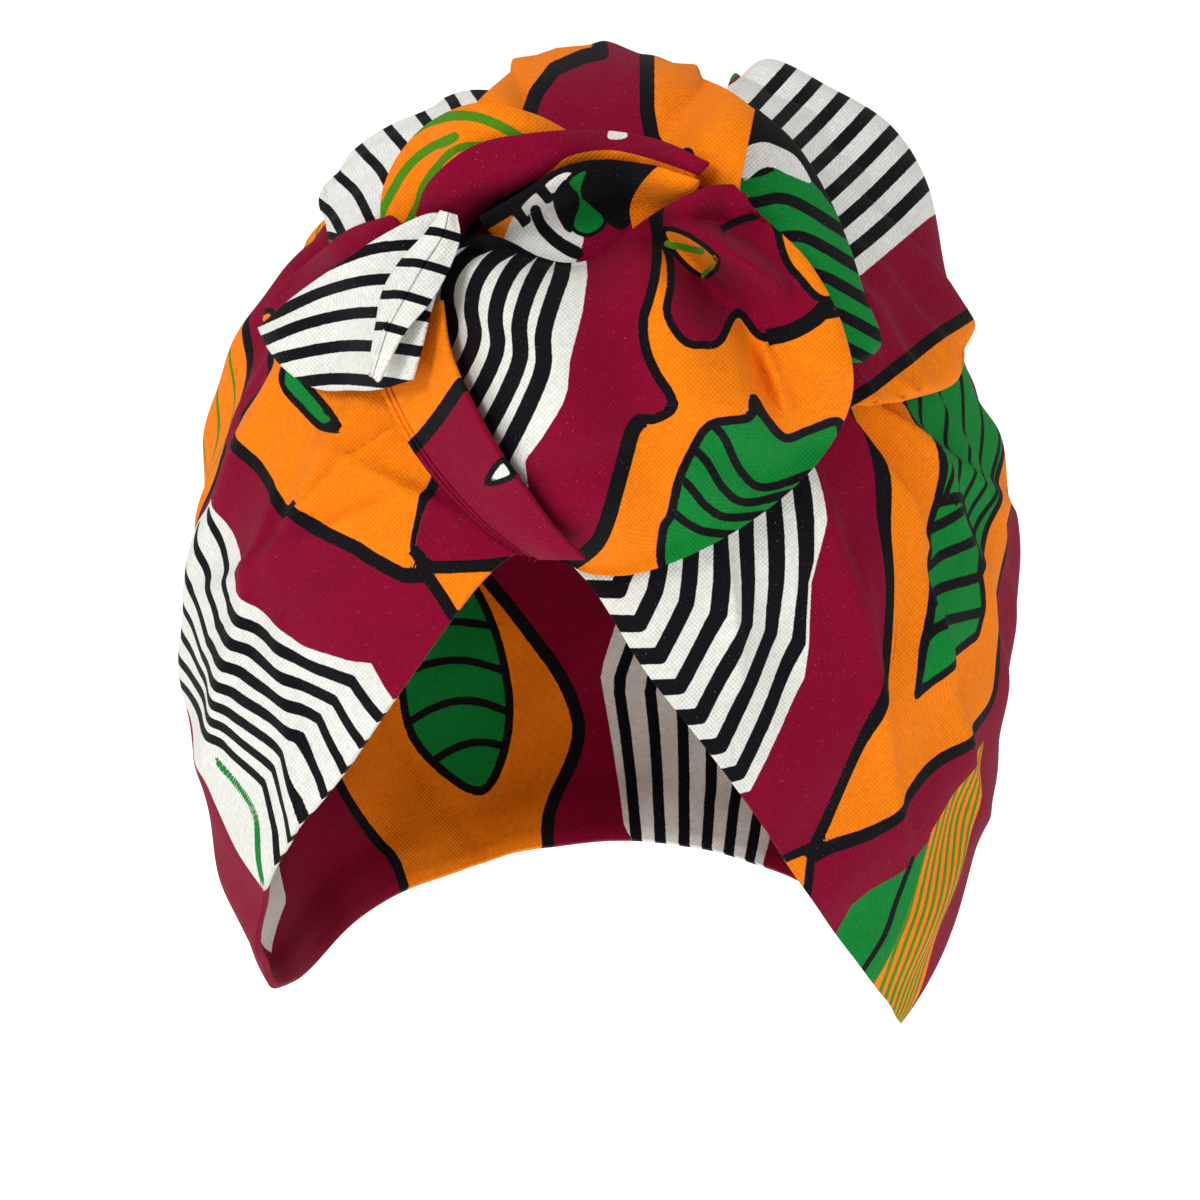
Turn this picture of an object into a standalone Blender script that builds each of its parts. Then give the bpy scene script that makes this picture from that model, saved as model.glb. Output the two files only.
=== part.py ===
"""A wired head wrap of printed cotton, tied in a rosette over the forehead.

One long cloth with wire in its hems goes round the head, crosses above the
forehead and is wound into a knot of loops and rolls. Each visible run of cloth
is a sheet of its own with a real wall: the crown wrap that covers the head, and
twelve lobes of the rosette that lie on it and on each other.

Frame: metres, +Z up, the front faces -Y. The origin is the point on top of the
head that the wrap sits on.

The rosette is laid out in face coordinates: x to the right and y up across the
front of the rosette, and h out of it. Its tables are in millimetres.
"""

import math
from collections import namedtuple

import bpy
import numpy as np

MM = 0.001

# The cloth's wall, and how softly a sheet comes to rest on the one below
WALL = 1.2 * MM
SOFT_REST = 0.8 * MM

# Where along its line a fold begins and how much of half a wave it spans, and how far it
# fades past its ends, in widths
FOLD_BEGINS = 0.15
FOLD_SPANS = 0.7
FOLD_FADES = 1.5

# Half sizes of the wrapped head, over the cloth
HALF_WIDTH = 81.5 * MM
FRONT_DEPTH = 92 * MM
BACK_DEPTH = 100 * MM
CROWN_HEIGHT = 102 * MM
LOWER_HEIGHT = 122 * MM
HEAD_CENTRE = np.array((0.0, 0.0, WALL - CROWN_HEIGHT))

# The direction that the rosette faces, and its own coordinates
FACE_AZIMUTH = math.radians(7)
FACE_ELEVATION = math.radians(18)
FACE_TAPER = 850 * MM
FACE_RISE = 6 * MM
OUT = np.array(
    (
        math.sin(FACE_AZIMUTH) * math.cos(FACE_ELEVATION),
        -math.cos(FACE_AZIMUTH) * math.cos(FACE_ELEVATION),
        math.sin(FACE_ELEVATION),
    )
)
RIGHT = np.array((math.cos(FACE_AZIMUTH), math.sin(FACE_AZIMUTH), 0.0))
UP = np.cross(RIGHT, -OUT)
FACE_CENTRE = HEAD_CENTRE + FACE_RISE * UP

# The mound of gathered cloth that carries the knot, and where the gathers start round it
HUB_AZIMUTH = 5
HUB_ELEVATION = 62
MOUND_HEIGHT = 24 * MM
MOUND_SPREAD = math.radians(27)
GATHER_START = 46 * MM

# Faces of the crown wrap, round the rim and from the hub down to the rim, and how much
# they are spread by their bearing round the hub and not by the rim's length
CROWN_AROUND = 60
CROWN_DOWN = 15
RIM_STEPS = 720
BEARING_SHARE = 0.55

# How finely a sheet is measured before the next one is laid on it
MEASURE_ALONG = 81
MEASURE_ACROSS = 49
MEASURE_AROUND = 241
MEASURE_DOWN = 121

Rim = namedtuple("Rim", "azimuth elevation")
Gather = namedtuple("Gather", "bearing width height reach")
Fold = namedtuple("Fold", "x0 y0 x1 y1 width height steep")
Station = namedtuple("Station", "inner_x inner_y outer_x outer_y inner_h outer_h crest")
Across = namedtuple("Across", "across rise above spread settle", defaults=(1, 0))
Lobe = namedtuple("Lobe", "name profile stations folds along across colour")

# The wrap's edge round the head, in degrees seen from the head's centre
RIM = (
    Rim(0, 28), Rim(6, 23), Rim(12, 14), Rim(18, 6), Rim(25, -4), Rim(33, -16),
    Rim(43, -28), Rim(56, -39), Rim(75, -49), Rim(100, -52), Rim(140, -48),
    Rim(180, -44), Rim(220, -48), Rim(260, -52), Rim(285, -48), Rim(302, -38),
    Rim(311, -29), Rim(319, -20), Rim(326, -12), Rim(334, -3), Rim(343, 9),
    Rim(349, 18), Rim(354, 24), Rim(360, 28),
)

# Gathers that spread from the knot: bearing 0 runs back over the head, 90 to the right
GATHERS = (
    Gather(2, 7, 5.0, 120), Gather(27, 7, 5.5, 135), Gather(52, 7, 6.5, 150),
    Gather(78, 7, 6.5, 140), Gather(104, 6, 5.0, 110), Gather(-23, 7, 5.5, 130),
    Gather(-49, 7, 6.5, 150), Gather(-75, 7, 6.5, 140), Gather(-101, 6, 5.0, 110),
)

# Pulls in the crown wrap beside the knot, in face coordinates
CROWN_FOLDS = (
    Fold(46, 40, 66, 14, 5, 4, 0.5), Fold(50, 42, 78, 20, 4, 3, 0.6),
    Fold(40, 28, 52, -6, 4, 2, 1), Fold(30, 16, 40, -20, 5, -2, 1),
    Fold(-59, 17, -36, 38, 2.5, 2, 0.5), Fold(-76, 3, -40, 20, 4, 2, 1),
    Fold(-30, 20, -60, -8, 6, 2, 1),
)

# Sections of a lobe: across from its inner to its outer edge, the rise as a share of
# its crest, the least height in millimetres above what it lies on, how far it fans out
# sideways, and how far it is pulled down onto the crown wrap
LAP = (
    Across(0, 0, 1.7), Across(0.05, 0.35, 1.7), Across(0.2, 0.78, 2),
    Across(0.45, 1, 2.6), Across(0.7, 0.92, 2.6), Across(0.9, 0.55, 2.4),
    Across(0.98, 0.2, 2), Across(1, -0.15, 1.8),
)
HOOD = (
    Across(0, 0.75, 5), Across(0.2, 0.95, 7), Across(0.5, 0.85, 8),
    Across(0.8, 0.55, 8), Across(0.95, 0.2, 7), Across(1, -0.2, 5.6),
    Across(1, -0.5, 4), Across(1, -0.75, 2.6),
)
WING = (
    Across(0, 0, 7), Across(0.25, 0.6, 8), Across(0.5, 0.9, 9),
    Across(0.75, 1, 9), Across(0.93, 0.7, 8), Across(1, 0, 5.6),
    Across(0.97, -0.7, 3.6), Across(0.85, -1.2, 3, 1, 0.1),
    Across(0.65, -1.6, 3, 1, 0.45), Across(0.42, -2, 3, 1, 0.9),
)
LOOP = (
    Across(0, 0, 6), Across(0.25, 0.6, 7), Across(0.5, 0.9, 8),
    Across(0.75, 1, 8), Across(0.92, 0.7, 7), Across(1, 0, 5.2),
    Across(0.97, -0.7, 3), Across(0.82, -1.15, 1.9), Across(0.6, -1.4, 1.9),
)
LEAF = (
    Across(0, 0, 1.7), Across(0.25, 0.6, 1.9), Across(0.5, 0.9, 2.1),
    Across(0.75, 1, 2.1), Across(0.92, 0.75, 1.9), Across(1, 0.3, 1.6),
)

BURGUNDY = (0.20, 0.004, 0.030)
ORANGE = (0.95, 0.26, 0.007)
GREEN = (0.007, 0.24, 0.037)
WHITE = (0.80, 0.81, 0.79)

# The lobes of the rosette, from the lowest layer to the highest
LOBES = (
    Lobe("back_left_loop", WING, (
        Station(-40, 66, -53.5, 69, 66, 50, 4), Station(-38, 72, -54.8, 76.5, 66, 50, 5),
        Station(-35, 77, -52.5, 83, 66, 50, 5), Station(-30, 81, -45.5, 90, 68, 52, 5),
        Station(-24, 85, -36, 96, 68, 52, 5), Station(-18, 87, -27, 100, 68, 50, 5),
        Station(-14, 87, -20.5, 101, 66, 48, 4),
    ), (), 13, 8, WHITE),
    Lobe("back_right_loop", WING, (
        Station(19, 86, 26, 102.5, 60, 46, 3), Station(21, 83, 33.5, 108.2, 62, 46, 5),
        Station(25, 79, 45.5, 102.8, 64, 46, 7), Station(30, 72, 58, 95, 66, 43, 8),
        Station(34, 63, 65.5, 83, 68, 42, 8), Station(36, 55, 69, 66, 70, 40, 8),
        Station(37, 47, 72.3, 52, 70, 38, 7), Station(38, 42, 71, 43.5, 70, 41, 5),
        Station(38, 38.5, 60, 39.5, 72, 52, 3),
    ), (Fold(30, 100, 62, 60, 8, 3, 1),), 17, 9, WHITE),
    Lobe("right_loop", LOOP, (
        Station(18, 89, 30, 99.5, 78, 66, 4), Station(22, 83, 39, 91.5, 80, 66, 6),
        Station(27, 75, 45.5, 81, 82, 66, 7), Station(31, 67, 49.8, 71, 82, 66, 7),
        Station(35, 59, 53, 61, 80, 65, 7), Station(38, 51.5, 56.3, 52, 78, 62, 6),
        Station(41, 47.5, 53, 47.5, 74, 61, 3),
    ), (Fold(36, 92, 54, 56, 3, 2, 0.6),), 13, 8, GREEN),
    Lobe("top_roll", HOOD, (
        Station(-28, 82, -28, 96, 66, 60, 17), Station(-20, 84, -21, 103, 67, 60, 22),
        Station(-11, 85, -12.5, 109, 68, 60, 27), Station(-1, 85, -2, 110.8, 69, 60, 29),
        Station(8, 85, 8, 108.4, 69, 60, 28), Station(17, 83, 18.5, 105, 68, 60, 25),
        Station(23, 81, 25.5, 102, 68, 61, 21), Station(27, 78, 31, 98, 68, 62, 16),
    ), (
        Fold(14, 100, 18, 84, 5, 3, 1), Fold(-10, 90, 15, 97, 4, -2.5, 1),
        Fold(-4, 102, 8, 86, 5, 2, 1),
    ), 16, 13, ORANGE),
    Lobe("left_swirl", LAP, (
        Station(-31, 72, -44, 75, 82, 68, 5), Station(-30, 78, -43.5, 82, 83, 68, 6),
        Station(-28, 83, -40, 89.5, 84, 68, 7), Station(-23, 86, -33.5, 96, 85, 69, 7),
        Station(-16, 87, -24, 99.5, 86, 71, 7), Station(-8, 87, -13, 97.2, 86, 74, 6),
        Station(0, 87, -5, 93, 86, 80, 4),
    ), (Fold(-36, 76, -14, 95, 2.5, 2.5, 0.7),), 14, 8, ORANGE),
    Lobe("upper_roll", LAP, (
        Station(-27, 69, -37, 77, 88, 84, 8), Station(-24, 75, -34, 84, 90, 84, 10),
        Station(-17, 80, -25, 91, 91, 86, 11), Station(-9, 84, -13, 93.5, 93, 88, 11),
        Station(0, 86, 0, 94, 94, 90, 10), Station(9, 85.5, 12, 92, 95, 92, 8),
        Station(18, 83, 22, 87.5, 95, 93, 5),
    ), (Fold(-26, 78, -8, 90, 3, -2, 1),), 14, 8, BURGUNDY),
    Lobe("core_twist", LEAF, (
        Station(-18, 68, -24, 76, 84, 88, 2), Station(-12, 66, -16, 81, 84, 91, 3),
        Station(-5, 66, -9, 86, 84, 92, 4), Station(3, 67, 0, 88, 84, 92, 4),
        Station(11, 69, 10, 87, 84, 92, 3), Station(18, 72, 20, 84, 84, 92, 2),
    ), (
        Fold(-17, 70, -6, 84, 2.5, 6, 0.7), Fold(-9, 69, -4, 82, 3, 5, 0.7),
        Fold(0, 75, 12, 80, 4, 4, 1),
    ), 14, 7, WHITE),
    Lobe("front_lobe", LAP, (
        Station(-28, 72, -38, 55, 96, 78, 10), Station(-24, 72.5, -35, 38, 97, 78, 16),
        Station(-19, 71.5, -26, 21, 98, 86, 21), Station(-13, 69, -12, 8.5, 99, 92, 24),
        Station(-7, 67.5, 3, 4.8, 100, 92, 26), Station(-1, 68.5, 17, 8.5, 100, 88, 27),
        Station(5, 73, 32, 17, 100, 82, 27), Station(11, 77, 44, 28, 99, 74, 27),
        Station(16, 80, 50.5, 41, 98, 72, 24), Station(20, 82, 48.5, 55, 96, 74, 19),
        Station(24, 83, 41.5, 68, 95, 79, 13), Station(27, 83, 32, 77, 94, 86, 6),
    ), (
        Fold(8, 76, 33, 54, 4, -9, 1), Fold(29, 55, 36, 36, 2.5, -6, 0.5),
        Fold(13, 78, 44, 59, 3.4, 7, 0.7), Fold(18, 66, 24, 54, 4, -7, 1),
        Fold(-6, 60, -14, 30, 8, 4, 1), Fold(5, 50, 14, 12, 8, -4, 1),
        Fold(22, 40, 44, 34, 6, 3, 1), Fold(-12, 24, 10, 30, 5, -3, 0.6),
        Fold(14, 34, 40, 22, 4, -3, 0.7),
    ), 26, 14, BURGUNDY),
    Lobe("left_loop_back", LEAF, (
        Station(-62, 50, -67.5, 56, 58, 52, 2), Station(-56, 54, -66, 61, 62, 54, 3),
        Station(-48, 60, -58.5, 67.5, 66, 58, 3), Station(-40, 65, -50.5, 74, 70, 62, 3),
        Station(-34, 68, -42, 77, 74, 68, 2),
    ), (), 9, 6, BURGUNDY),
    Lobe("left_roll", LAP, (
        Station(-32, 60, -45.5, 56, 88, 76, 4), Station(-30.5, 50, -45, 46, 92, 74, 7),
        Station(-26.5, 40.5, -41.5, 37, 96, 75, 9), Station(-21, 30.5, -36.5, 28.5, 98, 80, 9),
        Station(-15, 22, -29.5, 20, 100, 86, 9), Station(-9, 14, -22, 13, 100, 90, 8),
        Station(-3, 8, -14, 8, 99, 93, 5),
    ), (Fold(-40, 44, -30, 26, 2.5, 2.5, 0.6),), 15, 8, ORANGE),
    Lobe("left_loop", LEAF, (
        Station(-67, 51, -68.5, 54.5, 64, 62, 1), Station(-63.5, 46.5, -61, 61, 68, 66, 4),
        Station(-57.5, 42.5, -52.5, 67, 74, 72, 6), Station(-51, 42, -43.5, 73, 80, 78, 7),
        Station(-45, 42, -35, 77, 86, 84, 7), Station(-38, 44, -29, 76.5, 92, 90, 5),
    ), (Fold(-60, 55, -38, 62, 5, 2, 1),), 12, 9, WHITE),
    Lobe("left_loop_hem", LAP, (
        Station(-44.5, 43.5, -46.5, 45.5, 88, 84, 2), Station(-40, 52.5, -45, 55, 94, 88, 3),
        Station(-34, 59.5, -43.5, 62, 97, 91, 4), Station(-30.5, 65.5, -40, 68, 99, 93, 4),
        Station(-28, 72, -35, 73.5, 99, 95, 4), Station(-28.5, 77, -32, 78, 97, 95, 3),
    ), (), 12, 6, WHITE),
)


def face_to_space(x, y, h):
    """Points in space of face coordinates, which taper a little towards the front."""
    taper = 1 - h / FACE_TAPER
    across = (x * taper)[..., None] * RIGHT
    upward = (y * taper)[..., None] * UP
    return FACE_CENTRE + across + upward + h[..., None] * OUT


def space_to_face(points):
    """Face coordinates x, y and h of points in space."""
    rel = points - FACE_CENTRE
    h = rel @ OUT
    taper = 1 - h / FACE_TAPER
    return rel @ RIGHT / taper, rel @ UP / taper, h


def direction(azimuth, elevation):
    """Unit vectors of angles in degrees, with azimuth 0 to the front and 90 to the right."""
    azimuth, elevation = np.radians(azimuth), np.radians(elevation)
    level = np.cos(elevation)
    return np.stack((np.sin(azimuth) * level, -np.cos(azimuth) * level, np.sin(elevation)), -1)


HUB = direction(np.array(float(HUB_AZIMUTH)), np.array(float(HUB_ELEVATION)))
HUB_EAST = np.array((math.cos(math.radians(HUB_AZIMUTH)), math.sin(math.radians(HUB_AZIMUTH)), 0.0))
HUB_NORTH = np.cross(HUB, HUB_EAST)


def smooth(rows, t):
    """A Catmull-Rom curve through the table's rows, read at t from 0 to 1."""
    rows = np.asarray(rows, float)
    spans = len(rows) - 1
    s = np.clip(t, 0, 1) * spans
    i = np.minimum(s.astype(int), spans - 1)
    f = (s - i)[..., None]
    padded = np.vstack((2 * rows[0] - rows[1], rows, 2 * rows[-1] - rows[-2]))
    before, start, end, after = (padded[i + k] for k in range(4))
    cubic = 3 * (start - end) + after - before
    square = 2 * before - 5 * start + 4 * end - after
    return start + 0.5 * f * (end - before + f * (square + f * cubic))


def fold_height(x, y, folds):
    """The height that folds add: round ridges or dents, highest halfway along each."""
    total = np.zeros_like(x)
    for fold in folds:
        start = np.array((fold.x0, fold.y0)) * MM
        run = np.array((fold.x1, fold.y1)) * MM - start
        length = math.hypot(*run)
        width = fold.width * MM
        along = ((x - start[0]) * run[0] + (y - start[1]) * run[1]) / length**2
        side = ((x - start[0]) * run[1] - (y - start[1]) * run[0]) / length
        end = np.clip(along, 0, 1)
        beyond = (along - end) * length
        spread = np.where(side > 0, width, width * fold.steep)
        ridge = np.exp(-((side / spread) ** 2) - (beyond / (FOLD_FADES * width)) ** 2)
        total += fold.height * MM * ridge * np.sin(math.pi * (FOLD_BEGINS + FOLD_SPANS * end))
    return total


def head_radius(d):
    """Distance from the head's centre to its form, which is made of quarter ellipsoids."""
    depth = np.where(d[..., 1] < 0, FRONT_DEPTH, BACK_DEPTH)
    height = np.where(d[..., 2] > 0, CROWN_HEIGHT, LOWER_HEIGHT)
    return 1 / np.sqrt((d[..., 0] / HALF_WIDTH) ** 2 + (d[..., 1] / depth) ** 2 + (d[..., 2] / height) ** 2)


def bearing_of(d):
    """Degrees round the hub: 0 back over the head and 90 to the right."""
    return np.degrees(np.arctan2(d @ HUB_EAST, d @ HUB_NORTH))


def crown_radius(d):
    """Distance to the crown wrap: the head, the mound under the knot, the gathers and the pulls."""
    angle = np.arccos(np.clip(d @ HUB, -1, 1))
    radius = head_radius(d) + MOUND_HEIGHT * np.exp(-((angle / MOUND_SPREAD) ** 2))
    distance = angle * CROWN_HEIGHT
    for gather in GATHERS:
        turn = (bearing_of(d) - gather.bearing + 180) % 360 - 180
        near = (distance / GATHER_START) ** 4
        fade = near / (1 + near) * np.exp(-((distance / (gather.reach * MM)) ** 2))
        radius = radius + gather.height * MM * fade * np.exp(-((turn / gather.width) ** 2))
    x, y, h = space_to_face(HEAD_CENTRE + d * radius[..., None])
    return radius + np.where(h > 0, fold_height(x, y, CROWN_FOLDS), 0)


def rim_directions(around):
    """Directions of the rim, spread partly by its length and partly by its bearing round the hub."""
    rim = smooth(RIM, np.linspace(0, 1, RIM_STEPS + 1))
    d = direction(rim[:, 0], rim[:, 1])
    steps = np.linalg.norm(np.diff(d * head_radius(d)[:, None], axis=0), axis=1)
    turns = np.abs((np.diff(bearing_of(d)) + 180) % 360 - 180)
    weight = steps / steps.sum() * (1 - BEARING_SHARE) + turns / turns.sum() * BEARING_SHARE
    share = np.concatenate(((0,), np.cumsum(weight)))
    return direction(np.interp(around, share, rim[:, 0]), np.interp(around, share, rim[:, 1]))


def crown_surface(around, down):
    """Points of the crown wrap: around runs along the rim, down runs from the hub to the rim."""
    edge = rim_directions(around)
    angle = np.arccos(np.clip(edge @ HUB, -1, 1))
    from_hub = (np.sin((1 - down) * angle) / np.sin(angle))[..., None] * HUB
    d = from_hub + (np.sin(down * angle) / np.sin(angle))[..., None] * edge
    d /= np.linalg.norm(d, axis=-1, keepdims=True)
    return HEAD_CENTRE + d * crown_radius(d)[..., None]


class Layers:
    """The height of everything laid down so far, on square cells over the face."""

    CELL = 1.0 * MM
    FINENESS = 0.6 * CELL
    LEFT = -115 * MM
    BOTTOM = -125 * MM
    COLUMNS = 231
    ROWS = 266
    EMPTY = 0.0
    LOWEST = 34 * MM
    REACH = 4
    BLUR = 12

    def __init__(self):
        self.height = np.full((self.ROWS, self.COLUMNS), self.EMPTY)

    def lay(self, points):
        """Raises the cells under a sheet, given as a grid of points, to the sheet's height."""
        for axis in (0, 1):
            longest = np.linalg.norm(np.diff(points, axis=axis), axis=-1).max()
            parts = max(1, math.ceil(longest / self.FINENESS))
            last = points.shape[axis] - 1
            t = np.linspace(0, last, last * parts + 1)
            i = np.minimum(t.astype(int), last - 1)
            shape = (-1, 1, 1) if axis == 0 else (1, -1, 1)
            f = (t - i).reshape(shape)
            points = np.take(points, i, axis) * (1 - f) + np.take(points, i + 1, axis) * f
        x, y, h = space_to_face(points.reshape(-1, 3))
        h = np.where(h > self.LOWEST, h, self.EMPTY)
        column = np.clip(np.round((x - self.LEFT) / self.CELL).astype(int), 0, self.COLUMNS - 1)
        row = np.clip(np.round((y - self.BOTTOM) / self.CELL).astype(int), 0, self.ROWS - 1)
        np.maximum.at(self.height, (row, column), h)

    def covered(self):
        """The heights spread sideways and evened out, so that a sheet laid on them clears all."""
        height = self.height
        for _ in range(self.REACH):
            near = self.neighbours(height)
            height = np.maximum(height, near.max(axis=0))
        for _ in range(self.BLUR):
            height = (2 * height + self.neighbours(height).sum(axis=0)) / 6
        return height

    @staticmethod
    def neighbours(height):
        """The four neighbours of each cell."""
        p = np.pad(height, 1, mode="edge")
        return np.stack((p[:-2, 1:-1], p[2:, 1:-1], p[1:-1, :-2], p[1:-1, 2:]))

    def read(self, height, x, y):
        """The height at x and y, between the four nearest cells."""
        column = np.clip((x - self.LEFT) / self.CELL, 0, self.COLUMNS - 1.001)
        row = np.clip((y - self.BOTTOM) / self.CELL, 0, self.ROWS - 1.001)
        i, j = row.astype(int), column.astype(int)
        a, b = row - i, column - j
        low = (1 - b) * height[i, j] + b * height[i, j + 1]
        high = (1 - b) * height[i + 1, j] + b * height[i + 1, j + 1]
        return (1 - a) * low + a * high


def lobe_surface(lobe, layers, along, across):
    """A grid of points on a lobe, draped over the layers below it and over the crown wrap."""
    u, v = np.meshgrid(np.linspace(0, 1, along), np.linspace(0, 1, across), indexing="ij")
    station = smooth(lobe.stations, u) * MM
    t, rise, above, spread, settle = np.moveaxis(smooth(lobe.profile, v), -1, 0)
    above = above * MM
    inner_x, inner_y, outer_x, outer_y, inner_h, outer_h, crest = np.moveaxis(station, -1, 0)
    x = inner_x + (outer_x - inner_x) * t
    x = x.mean() + (x - x.mean()) * spread
    y = inner_y + (outer_y - inner_y) * t
    h = inner_h + (outer_h - inner_h) * t + crest * rise + fold_height(x, y, lobe.folds)
    rest = layers.read(layers.covered(), x, y) + above
    h = 0.5 * (h + rest + np.sqrt((h - rest) ** 2 + SOFT_REST**2))
    rel = face_to_space(x, y, h) - HEAD_CENTRE
    radius = np.linalg.norm(rel, axis=-1)
    d = rel / radius[..., None]
    least = crown_radius(d) + above
    radius = np.maximum(radius, least) * (1 - settle) + least * settle
    return HEAD_CENTRE + d * radius[..., None]


def cloth_material(name, colour):
    """Matt cotton in one colour."""
    material = bpy.data.materials.new(name)
    material.use_nodes = True
    shader = material.node_tree.nodes["Principled BSDF"]
    shader.inputs["Base Color"].default_value = (*colour, 1)
    shader.inputs["Roughness"].default_value = 0.85
    shader.inputs["Metallic"].default_value = 0.0
    return material


def cloth_object(name, points, faces, colour, seat):
    """A sheet of cloth as a solid: its outer surface, thickened inwards."""
    mesh = bpy.data.meshes.new(name)
    mesh.from_pydata(points.tolist(), [], faces)
    mesh.shade_smooth()
    mesh.materials.append(cloth_material(name + "_cotton", colour))
    sheet = bpy.data.objects.new(name, mesh)
    bpy.context.scene.collection.objects.link(sheet)
    sheet.parent = seat
    wall = sheet.modifiers.new("Wall", "SOLIDIFY")
    wall.thickness = WALL
    wall.offset = -1
    return sheet


def make_crown_wrap(seat):
    """The cloth round the head: rings of points from the rim up to one point under the knot."""
    around, down = np.meshgrid(
        np.linspace(0, 1, CROWN_AROUND, endpoint=False),
        np.linspace(1, 0, CROWN_DOWN, endpoint=False),
        indexing="ij",
    )
    rings = crown_surface(around, down).reshape(-1, 3)
    top = crown_surface(np.zeros(1), np.zeros(1))
    faces = []
    for i in range(CROWN_AROUND):
        a, b = i * CROWN_DOWN, (i + 1) % CROWN_AROUND * CROWN_DOWN
        faces += [(a + j, b + j, b + j + 1, a + j + 1) for j in range(CROWN_DOWN - 1)]
        faces.append((a + CROWN_DOWN - 1, b + CROWN_DOWN - 1, len(rings)))
    return cloth_object("crown_wrap", np.vstack((rings, top)), faces, ORANGE, seat)


def make_lobe(lobe, layers, seat):
    """One lobe of the rosette, facing out."""
    points = lobe_surface(lobe, layers, lobe.along + 1, lobe.across + 1)
    middle = points[lobe.along // 2]
    run = points[lobe.along // 2 + 1] - middle
    turn = np.cross(run[:-1], np.diff(middle, axis=0)) @ OUT
    if turn[: lobe.across // 3].sum() < 0:
        points = points[::-1]
    index = np.arange(points[..., 0].size).reshape(points.shape[:2])
    corners = (index[:-1, :-1], index[1:, :-1], index[1:, 1:], index[:-1, 1:])
    faces = np.stack(corners, -1).reshape(-1, 4).tolist()
    return cloth_object(lobe.name, points.reshape(-1, 3), faces, lobe.colour, seat)


def make_head_wrap():
    """Every sheet of the head wrap, the crown first and then the lobes from the lowest up."""
    for old in list(bpy.data.objects):
        bpy.data.objects.remove(old)
    seat = bpy.data.objects.new("head_seat", None)
    bpy.context.scene.collection.objects.link(seat)
    make_crown_wrap(seat)
    layers = Layers()
    around, down = np.meshgrid(
        np.linspace(0, 1, MEASURE_AROUND), np.linspace(0, 1, MEASURE_DOWN), indexing="ij"
    )
    layers.lay(crown_surface(around, down))
    for lobe in LOBES:
        make_lobe(lobe, layers, seat)
        layers.lay(lobe_surface(lobe, layers, MEASURE_ALONG, MEASURE_ACROSS))


make_head_wrap()
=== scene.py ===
"""Looks of a wired head wrap: printed cotton wrapped round the head and tied in a rosette.

The crown wrap and the lobes of the rosette are worked out again from the tables that
shaped their solids, at thread-like fineness, and each stands in for its plain solid. The
wax print is laid out in charts: areas, bars and lines of dye, painted one over the other
as signed distances at the points of each sheet, from which the shader draws clean edges.

Everything is in metres, +Z up, with the front towards -Y. The rosette is laid out in face
coordinates: x to the right and y up across its front, and h out of it. Its tables and the
charts of its lobes are in millimetres; the charts of the crown are in degrees of azimuth,
0 to the front and 90 to the right, and elevation, seen from the middle of the head.
"""

import logging
import math
from collections.abc import Callable
from dataclasses import dataclass, field
from enum import Enum
from functools import cached_property, partial
from typing import NamedTuple

import bpy
import numpy as np
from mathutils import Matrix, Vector


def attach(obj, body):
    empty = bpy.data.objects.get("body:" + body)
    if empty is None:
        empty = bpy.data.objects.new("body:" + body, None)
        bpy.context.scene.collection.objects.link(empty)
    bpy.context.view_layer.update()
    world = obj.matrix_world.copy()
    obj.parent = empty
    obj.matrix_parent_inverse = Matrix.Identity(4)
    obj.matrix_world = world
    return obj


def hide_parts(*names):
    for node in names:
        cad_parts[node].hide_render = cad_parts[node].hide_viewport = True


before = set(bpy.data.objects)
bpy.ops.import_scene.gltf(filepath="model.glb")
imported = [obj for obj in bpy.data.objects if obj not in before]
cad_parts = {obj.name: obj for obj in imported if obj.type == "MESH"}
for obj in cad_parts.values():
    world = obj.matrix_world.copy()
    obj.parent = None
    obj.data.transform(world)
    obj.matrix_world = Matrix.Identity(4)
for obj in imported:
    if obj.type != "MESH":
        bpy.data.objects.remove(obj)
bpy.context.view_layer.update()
log = logging.getLogger("head_wrap")

Array = np.ndarray
Points = tuple[tuple[float, float], ...]
Object = bpy.types.Object
Socket = bpy.types.NodeSocket
Tree = bpy.types.NodeTree

MM = 0.001
TINY = 1e-6
HALF_TURN = 180
TURN = 360
OUTLINE_PLIES = 3


# Table rows


class Rim(NamedTuple):
    """A point of the crown's edge, in degrees."""

    azimuth: float
    elevation: float


class Gather(NamedTuple):
    """A ridge that spreads from the knot: bearing and width in degrees, the rest in mm."""

    bearing: float
    width: float
    height: float
    reach: float


class Fold(NamedTuple):
    """A ridge or dent along a line of the face, steeper or flatter on its left side."""

    x0: float
    y0: float
    x1: float
    y1: float
    width: float
    height: float
    steep: float


class Station(NamedTuple):
    """A section of a lobe: its inner and outer edge, their heights and the crest between."""

    inner_x: float
    inner_y: float
    outer_x: float
    outer_y: float
    inner_h: float
    outer_h: float
    crest: float


class Across(NamedTuple):
    """A point of a section: share across, share of the crest, least height above what lies
    below, how far it fans out and how far it is pulled down onto the crown."""

    across: float
    rise: float
    above: float
    spread: float = 1
    settle: float = 0


class Wave(NamedTuple):
    """A wave of unevenness: its heading, its length in mm and its start in radians."""

    x: float
    y: float
    z: float
    length: float
    start: float


class Dye(Enum):
    """Dyes of the print in the order they cover one another, as sRGB hex values."""

    BURGUNDY = "#7E0029"
    ORANGE = "#EE7C08"
    LIME = "#4A8212"
    GREEN = "#087C30"
    WHITE = "#DCDCD6"
    BLACK = "#0D0B0F"


class Area(NamedTuple):
    """A closed patch of dye, its black outline's width in mm, and whether its sides are straight."""

    dye: Dye
    points: Points
    line: float = 0
    sharp: bool = False


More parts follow.
